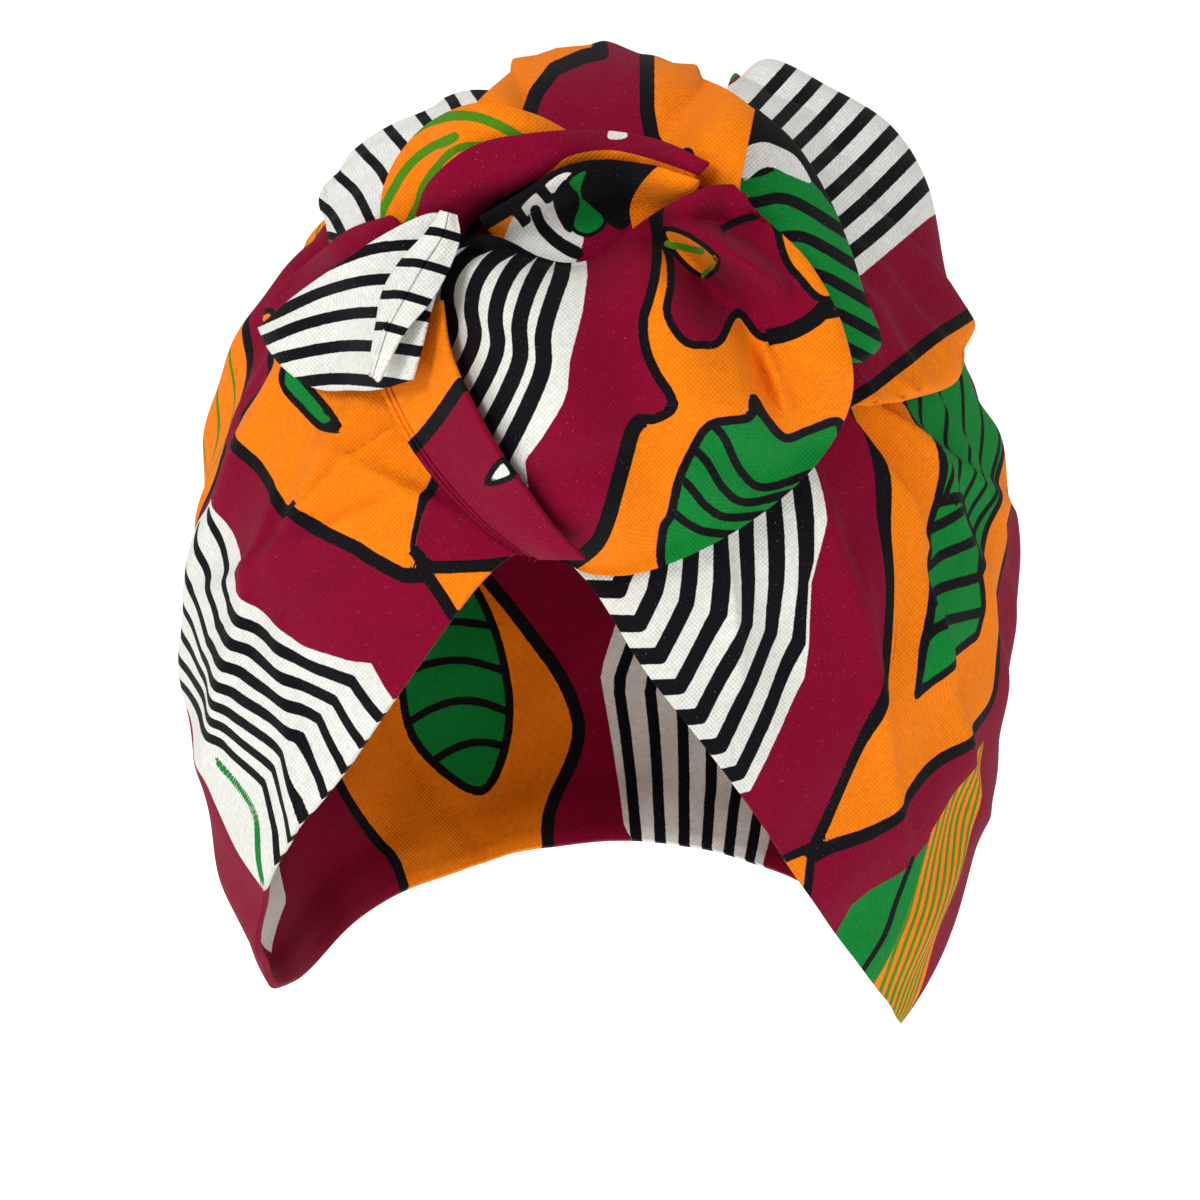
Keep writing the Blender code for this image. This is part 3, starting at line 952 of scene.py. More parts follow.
@dataclass
class CrownWrap:
    """The cloth round the head, gathered under the knot."""

    cloth: Cloth
    rim: tuple[Rim, ...]
    gathers: tuple[Gather, ...]
    folds: tuple[Fold, ...]
    chart: Chart
    hub_azimuth: float = 5
    hub_elevation: float = 62
    mound_height: float = 24 * MM
    mound_spread: float = math.radians(27)
    gather_start: float = 46 * MM
    start_power: int = 4
    wide_side: float = 1.3
    narrow_side: float = 0.65
    uneven: float = 1.9 * MM
    hem_share: float = 0.035
    rim_steps: int = 720
    bearing_share: float = 0.55
    around: int = 500
    down: int = 140
    inner_every: int = 2
    inner_down: int = 90
    measured_around: int = 241
    measured_down: int = 121

    @cached_property
    def hub(self) -> Array:
        """The direction of the gathers' middle."""
        return direction(self.hub_azimuth, self.hub_elevation)

    def bearing(self, d: Array) -> Array:
        """Bearings round the hub: the angle between a direction's parts to back and right.

        Args:
            d: unit vectors.

        Returns:
            Degrees, 0 back over the head and 90 to the right.
        """
        turn = math.radians(self.hub_azimuth)
        east = np.array((math.cos(turn), math.sin(turn), 0.0))
        return np.degrees(np.arctan2(d @ east, d @ np.cross(self.hub, east)))

    def radius(self, d: Array) -> Array:
        """Distance from the head's centre: the head, a bell for the mound, gathers and folds.

        A gather is a bell across its bearing, flatter on one side, that starts beyond the
        knot and fades out as another bell along its reach.

        Args:
            d: unit vectors.

        Returns:
            The distance along each.
        """
        angle = np.arccos(np.clip(d @ self.hub, -1, 1))
        mound = self.mound_height * np.exp(-((angle / self.mound_spread) ** 2))
        radius = HEAD.radius(d) + mound
        distance = angle * HEAD.crown_height
        for gather in self.gathers:
            turn = nearest(self.bearing(d) - gather.bearing)
            near = (distance / self.gather_start) ** self.start_power
            fade = near / (1 + near) * np.exp(-((distance / (gather.reach * MM)) ** 2))
            width = gather.width * np.where(turn > 0, self.wide_side, self.narrow_side)
            radius = radius + gather.height * MM * fade * np.exp(-((turn / width) ** 2))
        points = HEAD.centre + d * radius[..., None]
        x, y, h = FACE.to_face(points)
        folded = np.where(h > 0, fold_height(x, y, self.folds), 0)
        return radius + folded + wander(points, self.uneven)

    def rim_directions(self, around: Array) -> Array:
        """Directions of the rim, spread by its length and by its bearing round the hub.

        Args:
            around: places along the rim, from 0 to 1.

        Returns:
            Unit vectors.
        """
        rim = smooth(self.rim, np.linspace(0, 1, self.rim_steps + 1))
        d = direction(rim[:, 0], rim[:, 1])
        steps = np.linalg.norm(np.diff(d * HEAD.radius(d)[:, None], axis=0), axis=1)
        turns = np.abs(nearest(np.diff(self.bearing(d))))
        by_length = steps / steps.sum() * (1 - self.bearing_share)
        share = np.concatenate(((0,), np.cumsum(by_length + turns / turns.sum() * self.bearing_share)))
        return direction(*(np.interp(around, share, angles) for angles in rim.T))

    def surface(self, around: Array, down: Array) -> Array:
        """Points of the outer side, on great arcs from the hub to the rim.

        Args:
            around: places along the rim, from 0 to 1.
            down: places along the arcs, 0 at the hub and 1 at the rim.

        Returns:
            The points, on a new last axis.
        """
        edge = self.rim_directions(around)
        angle = np.arccos(np.clip(edge @ self.hub, -1, 1))
        from_hub = (np.sin((1 - down) * angle) / np.sin(angle))[..., None] * self.hub
        d = from_hub + (np.sin(down * angle) / np.sin(angle))[..., None] * edge
        d /= np.linalg.norm(d, axis=-1, keepdims=True)
        return HEAD.centre + d * self.radius(d)[..., None]

    @cached_property
    def measured(self) -> Array:
        """A plain grid over the whole crown."""
        sides = (np.linspace(0, 1, count) for count in (self.measured_around, self.measured_down))
        return self.surface(*np.meshgrid(*sides, indexing="ij"))

    def painted(self, points: Array) -> dict[str, Array]:
        """The print at points: charts in degrees, distances on the bare head form.

        Args:
            points: the mesh's points, one a row.

        Returns:
            The values that the shader reads, by attribute name.
        """
        rel = points - HEAD.centre
        d = rel / np.linalg.norm(rel, axis=1, keepdims=True)
        azimuth = np.degrees(np.arctan2(d[:, 0], -d[:, 1]))
        elevation = np.degrees(np.arcsin(d[:, 2]))

        def lift(rows: Array) -> Array:
            """Places in millimetres of chart rows in degrees."""
            lifted = direction(rows[:, 0], rows[:, 1])
            return lifted * HEAD.radius(lifted)[:, None] / MM

        flat = np.stack((azimuth, elevation), -1)
        place = d * HEAD.radius(d)[:, None] / MM
        return PrintedSurface(flat, place, d, lift, turns=True).paint(self.chart)

    def rings(self, around: int, down: int, inwards: float) -> Array:
        """Rings of points from the rim up, and the point on top, all moved towards the centre.

        Args:
            around: points of a ring.
            down: rings.
            inwards: how far they move, doubled in the hem, where the cloth is turned in.

        Returns:
            The points, one a row.
        """
        grid = np.meshgrid(
            np.linspace(0, 1, around, endpoint=False),
            np.linspace(1, 0, down, endpoint=False),
            indexing="ij",
        )
        rings = self.surface(*grid).reshape(-1, 3)
        top = self.surface(np.zeros(1), np.zeros(1))
        points = np.vstack((rings, top)) - HEAD.centre
        length = np.linalg.norm(points, axis=1, keepdims=True)
        in_hem = np.append(grid[1] > 1 - self.hem_share, False)[:, None]
        return HEAD.centre + points * (1 - inwards * (1 + in_hem) / length)

    @staticmethod
    def ring_faces(around: int, down: int, start: int, inward: bool) -> list[tuple[int, ...]]:
        """Faces of the rings, closed round the head and over the top.

        Args:
            around: points of a ring.
            down: rings.
            start: index of the first point.
            inward: whether the faces look inwards.

        Returns:
            Each face's points, by index.
        """
        index = start + np.arange(around * down).reshape(around, down)
        beside = np.roll(index, -1, 0)
        corners = [index[:, :-1], beside[:, :-1], beside[:, 1:], index[:, 1:]]
        faces = np.stack(corners, -1).reshape(-1, 4).tolist()
        top = start + around * down
        faces += [(a, b, top) for a, b in zip(index[:, -1].tolist(), beside[:, -1].tolist())]
        return [face[::-1] for face in faces] if inward else faces

    def build(self) -> None:
        """Builds the crown wrap: a fine outer side, a coarser inner side and the hem between."""
        inner_around = self.around // self.inner_every
        outer = self.rings(self.around, self.down, 0)
        inner = self.rings(inner_around, self.inner_down, self.cloth.wall)
        faces = self.ring_faces(self.around, self.down, 0, False)
        faces += self.ring_faces(inner_around, self.inner_down, len(outer), True)
        # Three triangles join each step of the inner rim to two steps of the outer one
        for i in range(inner_around):
            steps = range(self.inner_every * i, self.inner_every * (i + 1) + 1)
            outer_rim = [step % self.around * self.down for step in steps]
            inner_rim = [len(outer) + (i + k) % inner_around * self.inner_down for k in (0, 1)]
            faces.append((outer_rim[1], outer_rim[0], inner_rim[0]))
            faces.append((outer_rim[1], inner_rim[0], inner_rim[1]))
            faces.append((outer_rim[2], outer_rim[1], inner_rim[1]))
        points = np.vstack((outer, inner))
        wrap = self.cloth.mesh_of("crown_wrap_cloth", points, faces, self.painted(points))
        self.cloth.hand_over(wrap, "crown_wrap")
        cut_size(self.measured)


# The rosette


@dataclass
class Layers:
    """The height of everything laid down so far, on square cells over the face."""

    cell: float = 1.0 * MM
    fineness: float = 0.6 * MM
    left: float = -115 * MM
    bottom: float = -125 * MM
    columns: int = 231
    rows: int = 266
    lowest: float = 34 * MM
    reach: int = 4
    blur: int = 12

    def __post_init__(self) -> None:
        """Starts with nothing laid."""
        self.height = np.zeros((self.rows, self.columns))

    def lay(self, points: Array) -> None:
        """Raises the cells under a sheet to its height, once its grid is finer than they are.

        Args:
            points: the sheet's points, along and across.
        """
        for axis in (0, 1):
            longest = np.linalg.norm(np.diff(points, axis=axis), axis=-1).max()
            parts = max(1, math.ceil(longest / self.fineness))
            last = points.shape[axis] - 1
            t = np.linspace(0, last, last * parts + 1)
            i = np.minimum(t.astype(int), last - 1)
            f = (t - i).reshape((-1, 1, 1) if axis == 0 else (1, -1, 1))
            points = np.take(points, i, axis) * (1 - f) + np.take(points, i + 1, axis) * f
        x, y, h = FACE.to_face(points.reshape(-1, 3))
        h = np.where(h > self.lowest, h, 0)
        column = np.clip(np.round((x - self.left) / self.cell).astype(int), 0, self.columns - 1)
        row = np.clip(np.round((y - self.bottom) / self.cell).astype(int), 0, self.rows - 1)
        np.maximum.at(self.height, (row, column), h)

    def covered(self) -> Array:
        """The heights spread sideways and evened out, so that what is laid on them clears all.

        Each pass takes the greatest of a cell and its neighbours, or else their mean, in
        which the cell itself counts twice.

        Returns:
            The height of each cell.
        """
        own, beside = 2, 4
        height = self.height
        for _ in range(self.reach):
            height = np.maximum(height, self.neighbours(height).max(axis=0))
        for _ in range(self.blur):
            height = (own * height + self.neighbours(height).sum(axis=0)) / (own + beside)
        return height

    @staticmethod
    def neighbours(height: Array) -> Array:
        """The four neighbours of each cell, on a new first axis."""
        p = np.pad(height, 1, mode="edge")
        return np.stack((p[:-2, 1:-1], p[2:, 1:-1], p[1:-1, :-2], p[1:-1, 2:]))

    def read(self, height: Array, x: Array, y: Array) -> Array:
        """The height between the four nearest cells, each weighted by how near it is.

        Args:
            height: the height of each cell.
            x: places across the face.
            y: places up it.

        Returns:
            The height at each place.
        """
        just_over_one = 1.001
        column = np.clip((x - self.left) / self.cell, 0, self.columns - just_over_one)
        row = np.clip((y - self.bottom) / self.cell, 0, self.rows - just_over_one)
        i, j = row.astype(int), column.astype(int)
        a, b = row - i, column - j
        low = (1 - b) * height[i, j] + b * height[i, j + 1]
        high = (1 - b) * height[i + 1, j] + b * height[i + 1, j + 1]
        return (1 - a) * low + a * high


@dataclass(frozen=True)
class Lobe:
    """One loop, roll or fold of the rosette, draped over what lies below it."""

    node: str
    profile: tuple[Across, ...]
    stations: tuple[Station, ...]
    folds: tuple[Fold, ...]
    chart: Chart
    trims: tuple[str, ...] = ()
    soft_rest: float = 0.8 * MM
    cell: float = 0.75 * MM
    fewest_cells: int = 24
    measured_along: int = 81
    measured_across: int = 49

    def surface(self, crown: CrownWrap, layers: Layers, along: int, across: int) -> Array:
        """A grid of points: sections swept along the lobe, no lower than what it lies on.

        The height is the soft maximum of the lobe's own and the layers' below, and then the
        point is kept above the crown wrap, or pulled down onto it, along its radius.

        Args:
            crown: the crown wrap.
            layers: what is laid down so far.
            along: points along the lobe.
            across: points across it.

        Returns:
            The grid.
        """
        u, v = np.meshgrid(np.linspace(0, 1, along), np.linspace(0, 1, across), indexing="ij")
        station = smooth(self.stations, u) * MM
        t, rise, above, spread, settle = np.moveaxis(smooth(self.profile, v), -1, 0)
        above = above * MM
        inner_x, inner_y, outer_x, outer_y, inner_h, outer_h, crest = np.moveaxis(station, -1, 0)
        x = inner_x + (outer_x - inner_x) * t
        x = x.mean() + (x - x.mean()) * spread
        y = inner_y + (outer_y - inner_y) * t
        h = inner_h + (outer_h - inner_h) * t + crest * rise + fold_height(x, y, self.folds)
        rest = layers.read(layers.covered(), x, y) + above
        h = 0.5 * (h + rest + np.sqrt((h - rest) ** 2 + self.soft_rest**2))
        rel = FACE.to_space(x, y, h) - HEAD.centre
        radius = np.linalg.norm(rel, axis=-1)
        d = rel / radius[..., None]
        least = crown.radius(d) + above
        radius = np.maximum(radius, least) * (1 - settle) + least * settle
        return HEAD.centre + d * radius[..., None]

    def painted(self, points: Array) -> dict[str, Array]:
        """The print at points: charts and distances in millimetres across the face.

        Args:
            points: the mesh's points, one a row.

        Returns:
            The values that the shader reads, by attribute name.
        """
        x, y, _ = FACE.to_face(points)
        flat = np.stack((x, y), -1) / MM

        def lift(rows: Array) -> Array:
            """Places of chart rows, on a flat face."""
            return np.column_stack((rows, np.zeros(len(rows))))

        normal = np.broadcast_to((0.0, 0.0, 1.0), (len(points), 3))
        return PrintedSurface(flat, lift(flat), normal, lift).paint(self.chart)

    def build(self, cloth: Cloth, crown: CrownWrap, layers: Layers) -> tuple[float, float]:
        """Builds the lobe's sheet over the layers and lays it for the next ones.

        Args:
            cloth: what makes the sheet.
            crown: the crown wrap.
            layers: what is laid down so far.

        Returns:
            The width and length of the strip that it is cut from.
        """
        measured = self.surface(crown, layers, self.measured_along, self.measured_across)
        flat = cut_size(measured)
        along, across = (max(self.fewest_cells, round(side / self.cell)) for side in flat[::-1])
        grid = self.surface(crown, layers, along, across)
        sheet = cloth.sheet(self.node + "_cloth", grid, self.painted)
        cloth.hand_over(sheet, self.node)
        layers.lay(measured)
        return flat


# The tables of the crown wrap

RIM = (
    Rim(0, 28), Rim(6, 23), Rim(12, 14), Rim(18, 6), Rim(25, -4), Rim(33, -16), Rim(43, -28), Rim(56, -39),
    Rim(75, -49), Rim(100, -52), Rim(140, -48), Rim(180, -44), Rim(220, -48), Rim(260, -52), Rim(285, -48),
    Rim(302, -38), Rim(311, -29), Rim(319, -20), Rim(326, -12), Rim(334, -3), Rim(343, 9), Rim(349, 18),
    Rim(354, 24), Rim(360, 28),
)

GATHERS = (
    Gather(2, 4.6, 4.4, 150), Gather(15, 2.6, 2.2, 105), Gather(27, 4.4, 5.0, 175),
    Gather(41, 2.8, 2.6, 120), Gather(52, 5, 5.8, 165), Gather(66, 2.8, 2.4, 130),
    Gather(78, 5.2, 6.0, 150), Gather(91, 2.8, 2.6, 105), Gather(104, 4.6, 4.6, 120),
    Gather(-11, 2.6, 2.4, 120), Gather(-23, 4.6, 5.0, 160), Gather(-37, 2.8, 2.4, 105),
    Gather(-49, 4.8, 6.0, 180), Gather(-63, 2.8, 2.6, 130), Gather(-75, 5, 5.8, 150),
    Gather(-89, 2.8, 2.6, 110), Gather(-101, 4.6, 4.6, 120),
)

CROWN_FOLDS = (
    Fold(44, 42, 64, 12, 3.6, 4.6, 0.5), Fold(49, 43, 78, 20, 3.4, 3.4, 0.5),
    Fold(40, 30, 52, -8, 3.4, 2.8, 0.6), Fold(30, 16, 40, -20, 5, -2, 1),
    Fold(-60, 16, -37, 37, 2, 3.4, 0.25), Fold(-76, 3, -40, 20, 3.4, 2.4, 0.6),
    Fold(-30, 20, -60, -8, 6, 2, 1), Fold(24, 14, 28, -14, 3.2, 2.2, 0.6),
    Fold(-48, 40, -66, 4, 3.4, 2.2, 0.6), Fold(-54, 30, -30, 18, 2.4, 1.8, 0.4),
    Fold(-62, 30, -78, -30, 3.4, 2.4, 0.4), Fold(60, 20, 76, -40, 3.6, 2.6, 0.4),
    Fold(52, 4, 60, -46, 3, 2, 0.5), Fold(-64, -8, -58, -60, 3, 2, 0.5),
)

ORANGE_LEFT = (
    (-59.5, 44.8), (-55.7, 43.2), (-53.1, 40.2), (-57.3, 37.7), (-60.5, 35.2), (-57.5, 32.9), (-48, 31.1),
    (-42.4, 29.5), (-38.8, 27.5), (-36.4, 26.9), (-35.4, 27.9), (-33.2, 26.9), (-23.6, 25), (-16.7, 22.9),
    (-13.7, 23.2), (-15, 25.9), (-14.4, 29.6), (-12.9, 34.1), (-9, 42), (-18.5, 49), (-34, 53), (-52, 53),
)
WHITE_LEFT = (
    (-61.2, 24.5), (-53.2, 21.8), (-45.1, 17.7), (-45.7, 16.2), (-37.6, 14.3), (-30.9, 12.8), (-23.6, 12.4),
    (-20.3, 12.7), (-16.8, 9), (-12, 3), (-22, -9), (-32, -21), (-38, -28), (-42.5, -23.5), (-48.3, -19.4),
    (-56, -13), (-66, -9), (-78, -8), (-84, 4), (-72, 18),
)
WHITE_RIGHT = (
    (33, 41), (35.3, 33.3), (35.4, 28.1), (33.5, 21.9), (33.2, 14.5), (32.6, 10.9), (28.2, 4.4),
    (24.6, -1.4), (20.7, -1.7), (16, -3.5), (9, 9), (1, 22), (2, 36), (20, 44),
)
ORANGE_RIGHT = (
    (43, 44), (45, 36.5), (46.5, 30.5), (46.5, 22.5), (46, 15), (43.5, 7.5), (39.5, 0.5), (36, -7),
    (33.8, -11.5), (37, -11), (45.5, -10), (53.5, -6), (65.5, -4), (73, -2), (76, 5.5), (83.5, 14.5),
    (93, 22.5), (100, 34), (88, 48), (60, 52),
)
GREEN_RIGHT = (
    (59.5, 43), (57.4, 37.3), (58.9, 34), (60.7, 30.5), (60.5, 28), (55.8, 21.3), (51.4, 10.8), (50.2, 5.4),
    (57.7, 8), (67.6, 8.6), (68.9, 11.6), (68.3, 16.5), (74.4, 19), (81.1, 23.4), (94.4, 27.9), (95, 36),
    (84, 46), (68, 48),
)
GREEN_LOW = (
    (41, -20.4), (44, -19), (49.7, -18.2), (55.5, -15.5), (53.8, -22.5), (51.4, -29), (50, -38), (44, -38),
    (38, -28),
)
ORANGE_LOW = (
    (55.5, -14.5), (65.5, -9.5), (72, -7.5), (72.5, -16.5), (69.5, -29.5), (71.5, -44), (68, -56),
    (53, -54), (47.5, -40), (51.4, -29), (53.8, -22.5),
)

CROWN_CHART = (
    Area(ORANGE, ORANGE_LEFT, 2.6, True),
    Area(GREEN, ((-44, 40), (-43.4, 42), (-40, 41.2), (-33, 38.8), (-28.5, 36.6), (-33.3, 36.9),
        (-39.4, 38.6)), 1.3),
    Area(BURGUNDY, ((-13.4, 30.9), (-14.4, 29.6), (-15.2, 25.9), (-13.4, 24.2), (-4, 25.6), (4, 30),
        (-6, 44), (-12.5, 34)), 0, True),
    Area(ORANGE, ((-13.4, 24), (-6, 24.7), (1, 25.5), (-2, 20), (-8.5, 18.6)), 0, True),
    Stroke(BLACK, ((-15.6, 25.8), (-13.6, 24.1), (-6, 24.8), (2, 26)), 2.2, True),
    Stroke(BLACK, ((-14.2, 23.6), (-11.5, 20.9), (-8.5, 17.4)), 2.4, True),
    Area(WHITE, WHITE_LEFT, 0, True),
    Stripes(BLACK, ((-59, 21.4), (-49.1, 13.4), (-38.7, 12.2), (-29.4, 10.5), (-23, 10.1), (-18.7, 6.7),
        (-15, 3)), ((-78, -4.5), (-68, -4.5), (-57.9, -4.7), (-49.7, -4.9), (-40.6, -7.4), (-38.2, -13),
        (-38, -19)), 7, 2.4, 2.4, 1.3, True),
    Stroke(GREEN, ((-52, -8), (-48.3, -9.3), (-43.6, -11.9), (-42.4, -14.5), (-42.8, -21)), 2.1),
    Area(WHITE, WHITE_RIGHT, 0, True),
    Stripes(BLACK, ((32, 40), (32.9, 32.3), (32.7, 22), (32.1, 15.6), (23.2, 1.1), (17.5, 1)), ((14.6, 31),
        (10.4, 25.4), (9.9, 24.4), (9.5, 23.7), (9.1, 22.6), (4.3, 22.8)), 7, 3, 3, 0.6, True),
    Area(ORANGE, ORANGE_RIGHT, 2.8),
    Area(GREEN, GREEN_RIGHT, 2, True),
    Stripes(BLACK, ((64, 44), (63.5, 40.2), (61.6, 35.4), (62.9, 31.4), (61.8, 27.7)), ((95, 38),
        (94.8, 32.5), (90, 28.4), (79.7, 24.2), (71.4, 20.8)), 5, 1.5, 1.5, 0.5),
    Area(GREEN, ((60.2, 27.5), (68, 26.4), (72, 21), (68.4, 17), (69, 11.6), (67.6, 8.6), (57.7, 8),
        (50.2, 5.4), (51.4, 10.8), (55.8, 21.3)), 2, True),
    Stripes(BLACK, ((57.2, 24.6), (63.2, 24.9), (70, 25.4)), ((51, 11.5), (55.4, 13.3), (70, 11.2)), 4, 2,
        2, 0.5),
    Area(ORANGE, ((28.5, -11.2), (33.8, -10.6), (33, -16.5), (27, -18)), 2, True),
    Area(GREEN, GREEN_LOW, 0, True),
    Stroke(BLACK, ((51.6, -16.4), (49.8, -22.3), (48.4, -26.8), (44, -32)), 1.8),
    Area(ORANGE, ORANGE_LOW, 0, True),
    Stripes(LIME, ((55.5, -12), (53.5, -24.5), (52, -32.5), (57.5, -54)), ((71.5, -5), (70, -23.5),
        (68, -36), (71, -56)), 8, 1.5, 1.5),
    Area(ORANGE, ((105, 62), (122, 52), (130, 30), (122, 8), (112, -10), (106, -32), (102, -60), (134, -60),
        (138, -42), (130, -30), (141, -18), (149, 0), (152, 18), (154, 42), (146, 64)), 3),
    Area(GREEN, ((118, 50), (131, 46), (137, 36), (136, 22), (129, 14), (131, 2), (140, -6), (146, 6),
        (145, 20), (148, 36), (136, 56)), 2),
    Stripes(BLACK, ((116, 52), (124, 44), (132, 44), (146, 56)), ((124, 6), (132, -4), (139, -8),
        (150, -2)), 10, 1.8, 1.8, 0.4),
    Area(WHITE, ((159, 43), (172, 33), (183, 42), (199, 45), (209, 35), (205, 20), (195, 19), (183, 16),
        (171, 8), (160, 18)), 0, True),
    Stripes(BLACK, ((148, 55), (172, 30.5), (184, 38.5), (199, 41.5), (216, 30)), ((148, 39), (172, 14),
        (184, 21.5), (199, 24.5), (216, 13)), 7, 2.6, 2.6, 0, True),
    Area(WHITE, ((160, -12), (171, -3), (182, -9), (187, -24), (183, -43), (172, -52), (158, -46),
        (160, -28)), 0, True),
    Stripes(BLACK, ((161, 4), (158, -10), (162.5, -27), (159.5, -60)), ((180, 4), (179, -10), (184.5, -25),
        (178, -60)), 6, 2.6, 2.6, 0, True),
    Area(ORANGE, ((200, -14), (214, 4), (220, 22), (216, 48), (232, 58), (250, 40), (256, 20), (247, 8),
        (240, -10), (228, -22), (234, -34), (226, -46), (226, -62), (192, -62), (196, -44), (190, -30)), 3),
    Area(GREEN, ((206, -38), (216, -30), (218, -16), (230, -6), (238, 8), (238, 24), (226, 30), (224, 14),
        (214, 0), (204, -12), (200, -28)), 2),
    Stripes(BLACK, ((188, -40), (204, -32), (218, -36), (230, -46)), ((212, 30), (228, 22), (240, 22),
        (252, 14)), 11, 1.8, 1.8, 0.4),
    Area(ORANGE, ((150, 72), (166, 62), (186, 65), (204, 60), (222, 66), (226, 76), (204, 72), (182, 76),
        (162, 79)), 3),
    Stripes(LIME, ((140, 70), (166, 63.6), (186, 66), (204, 62), (232, 68)), ((140, 80), (164, 75),
        (184, 73.4), (204, 70.4), (234, 76)), 4, 1.6, 1.6, 1),
    Area(WHITE, ((256, -18), (268, -4), (280, -8), (286, -30), (278, -46), (262, -44), (254, -34)), 0,
        True),
    Stripes(BLACK, ((246, -20), (267, -9), (292, -26)), ((246, -42), (268, -30), (290, -48)), 6, 2.6, 2.6,
        0, True),
    Area(ORANGE, ((262, 62), (280, 52), (292, 36), (288, 18), (272, 8), (262, 22), (252, 42)), 3),
    Stripes(LIME, ((270, 56), (280, 46), (286, 32), (282, 18)), ((258, 44), (264, 34), (268, 22),
        (272, 10)), 4, 1.2, 1.2, 1.4),
)


# The tables of the rosette

LAP = (
    Across(0, 0, 1.7), Across(0.05, 0.35, 1.7), Across(0.2, 0.78, 2), Across(0.45, 1, 2.6),
    Across(0.7, 0.92, 2.6), Across(0.9, 0.55, 2.4), Across(0.98, 0.2, 2), Across(1, -0.15, 1.8),
)
HEMMED_LAP = (
    Across(0, 0, 1.7), Across(0.12, 0.6, 1.8), Across(0.3, 0.9, 2.2), Across(0.5, 1, 2.6),
    Across(0.7, 0.92, 2.6), Across(0.8, 0.8, 2.6), Across(0.84, 0.72, 2.6), Across(0.86, 0.56, 2),
    Across(0.88, 0.66, 2.6), Across(0.91, 0.6, 2.6), Across(0.93, 0.42, 1.9), Across(0.95, 0.5, 2.5),
    Across(0.98, 0.34, 2.4), Across(1, 0.05, 2), Across(1, -0.15, 1.8),
)
SEAMED_LAP = (
    Across(0, 0, 1.7), Across(0.1, 0.5, 1.8), Across(0.3, 0.9, 2.4), Across(0.42, 1, 2.7),
    Across(0.47, 1, 2.7), Across(0.5, 0.75, 1.9), Across(0.53, 1, 2.7), Across(0.6, 0.98, 2.7),
    Across(0.75, 0.85, 2.6), Across(0.9, 0.5, 2.4), Across(1, 0.05, 2),
)
HOOD = (
    Across(0, 0.75, 5), Across(0.2, 0.95, 7), Across(0.5, 0.85, 8), Across(0.8, 0.55, 8),
    Across(0.95, 0.2, 7), Across(1, -0.2, 5.6), Across(1, -0.5, 4), Across(1, -0.75, 2.6),
)
WING = (
    Across(0, 0, 7), Across(0.25, 0.6, 8), Across(0.5, 0.9, 9), Across(0.75, 1, 9), Across(0.93, 0.7, 8),
    Across(1, 0, 5.6), Across(0.97, -0.7, 3.6), Across(0.85, -1.2, 3, 1, 0.1),
    Across(0.65, -1.6, 3, 1, 0.45), Across(0.42, -2, 3, 1, 0.9),
)
LOOP = (
    Across(0, 0, 6), Across(0.25, 0.6, 7), Across(0.5, 0.9, 8), Across(0.75, 1, 8), Across(0.92, 0.7, 7),
    Across(1, 0, 5.2), Across(0.97, -0.7, 3), Across(0.82, -1.15, 1.9), Across(0.6, -1.4, 1.9),
)
LEAF = (
    Across(0, 0, 1.7), Across(0.25, 0.6, 1.9), Across(0.5, 0.9, 2.1), Across(0.75, 1, 2.1),
    Across(0.92, 0.75, 1.9), Across(1, 0.3, 1.6),
)

BACK_LEFT_LOOP = Lobe("back_left_loop", WING, (
    Station(-40, 66, -53.5, 69, 66, 50, 4), Station(-38, 72, -54.8, 76.5, 66, 50, 5),
    Station(-35, 77, -52.5, 83, 66, 50, 5), Station(-30, 81, -45.5, 90, 68, 52, 5),
    Station(-24, 85, -36, 96, 68, 52, 5), Station(-18, 87, -27, 100, 68, 50, 5),
    Station(-14, 87, -20.5, 101, 66, 48, 4),
), (), (
    Area(WHITE, ((-62, 60), (-62, 90), (-40, 110), (-10, 110), (-10, 80), (-40, 60))),
    Stripes(BLACK, ((-60, 83), (-57, 80), (-53.6, 77), (-50, 70)), ((-34, 106), (-31, 102), (-28.5, 98),
        (-25, 90)), 6, 1.9, 2.2),
    Stroke(BLACK, ((-27, 106), (-25, 103), (-21, 97), (-18, 90)), 3),
    Area(GREEN, ((-58, 72), (-52, 72), (-50, 64), (-58, 64)), 1.6),
))
BACK_RIGHT_LOOP = Lobe("back_right_loop", WING, (
    Station(19, 86, 26, 102.5, 60, 46, 3), Station(21, 83, 33.5, 108.2, 62, 46, 5),
    Station(25, 79, 45.5, 102.8, 64, 46, 7), Station(30, 72, 58, 95, 66, 43, 8),
    Station(34, 63, 65.5, 83, 68, 42, 8), Station(36, 55, 69, 66, 70, 40, 8),
    Station(37, 47, 72.3, 52, 70, 38, 7), Station(38, 42, 71, 43.5, 70, 41, 5),
    Station(38, 38.5, 60, 39.5, 72, 52, 3),
), (
    Fold(30, 100, 62, 60, 8, 3, 1), Fold(36, 64, 62, 86, 2.6, 1.6, 0.5),
    Fold(38, 48, 70, 66, 2.4, 1.8, 0.5),
), (
    Area(WHITE, ((27.5, 104), (36, 114), (58, 112), (78, 86), (65.8, 76.4), (51.2, 64.2), (30, 47),
        (10, 60), (15, 95))),
    Stripes(BLACK, ((22, 89), (26, 93), (30.8, 98.6), (38.4, 107), (44, 114)), ((38, 60), (43, 64),
        (49.4, 68.8), (58, 76), (70, 88)), 7, 2.5, 2.8),
    Area(GREEN, ((22, 102), (26, 103.6), (29.4, 108), (26, 112), (18, 108))),
    Area(ORANGE, ((28, 29), (50.2, 40), (60, 47), (71.4, 55.4), (88, 62), (88, 18), (28, 18)), 2.6),
))
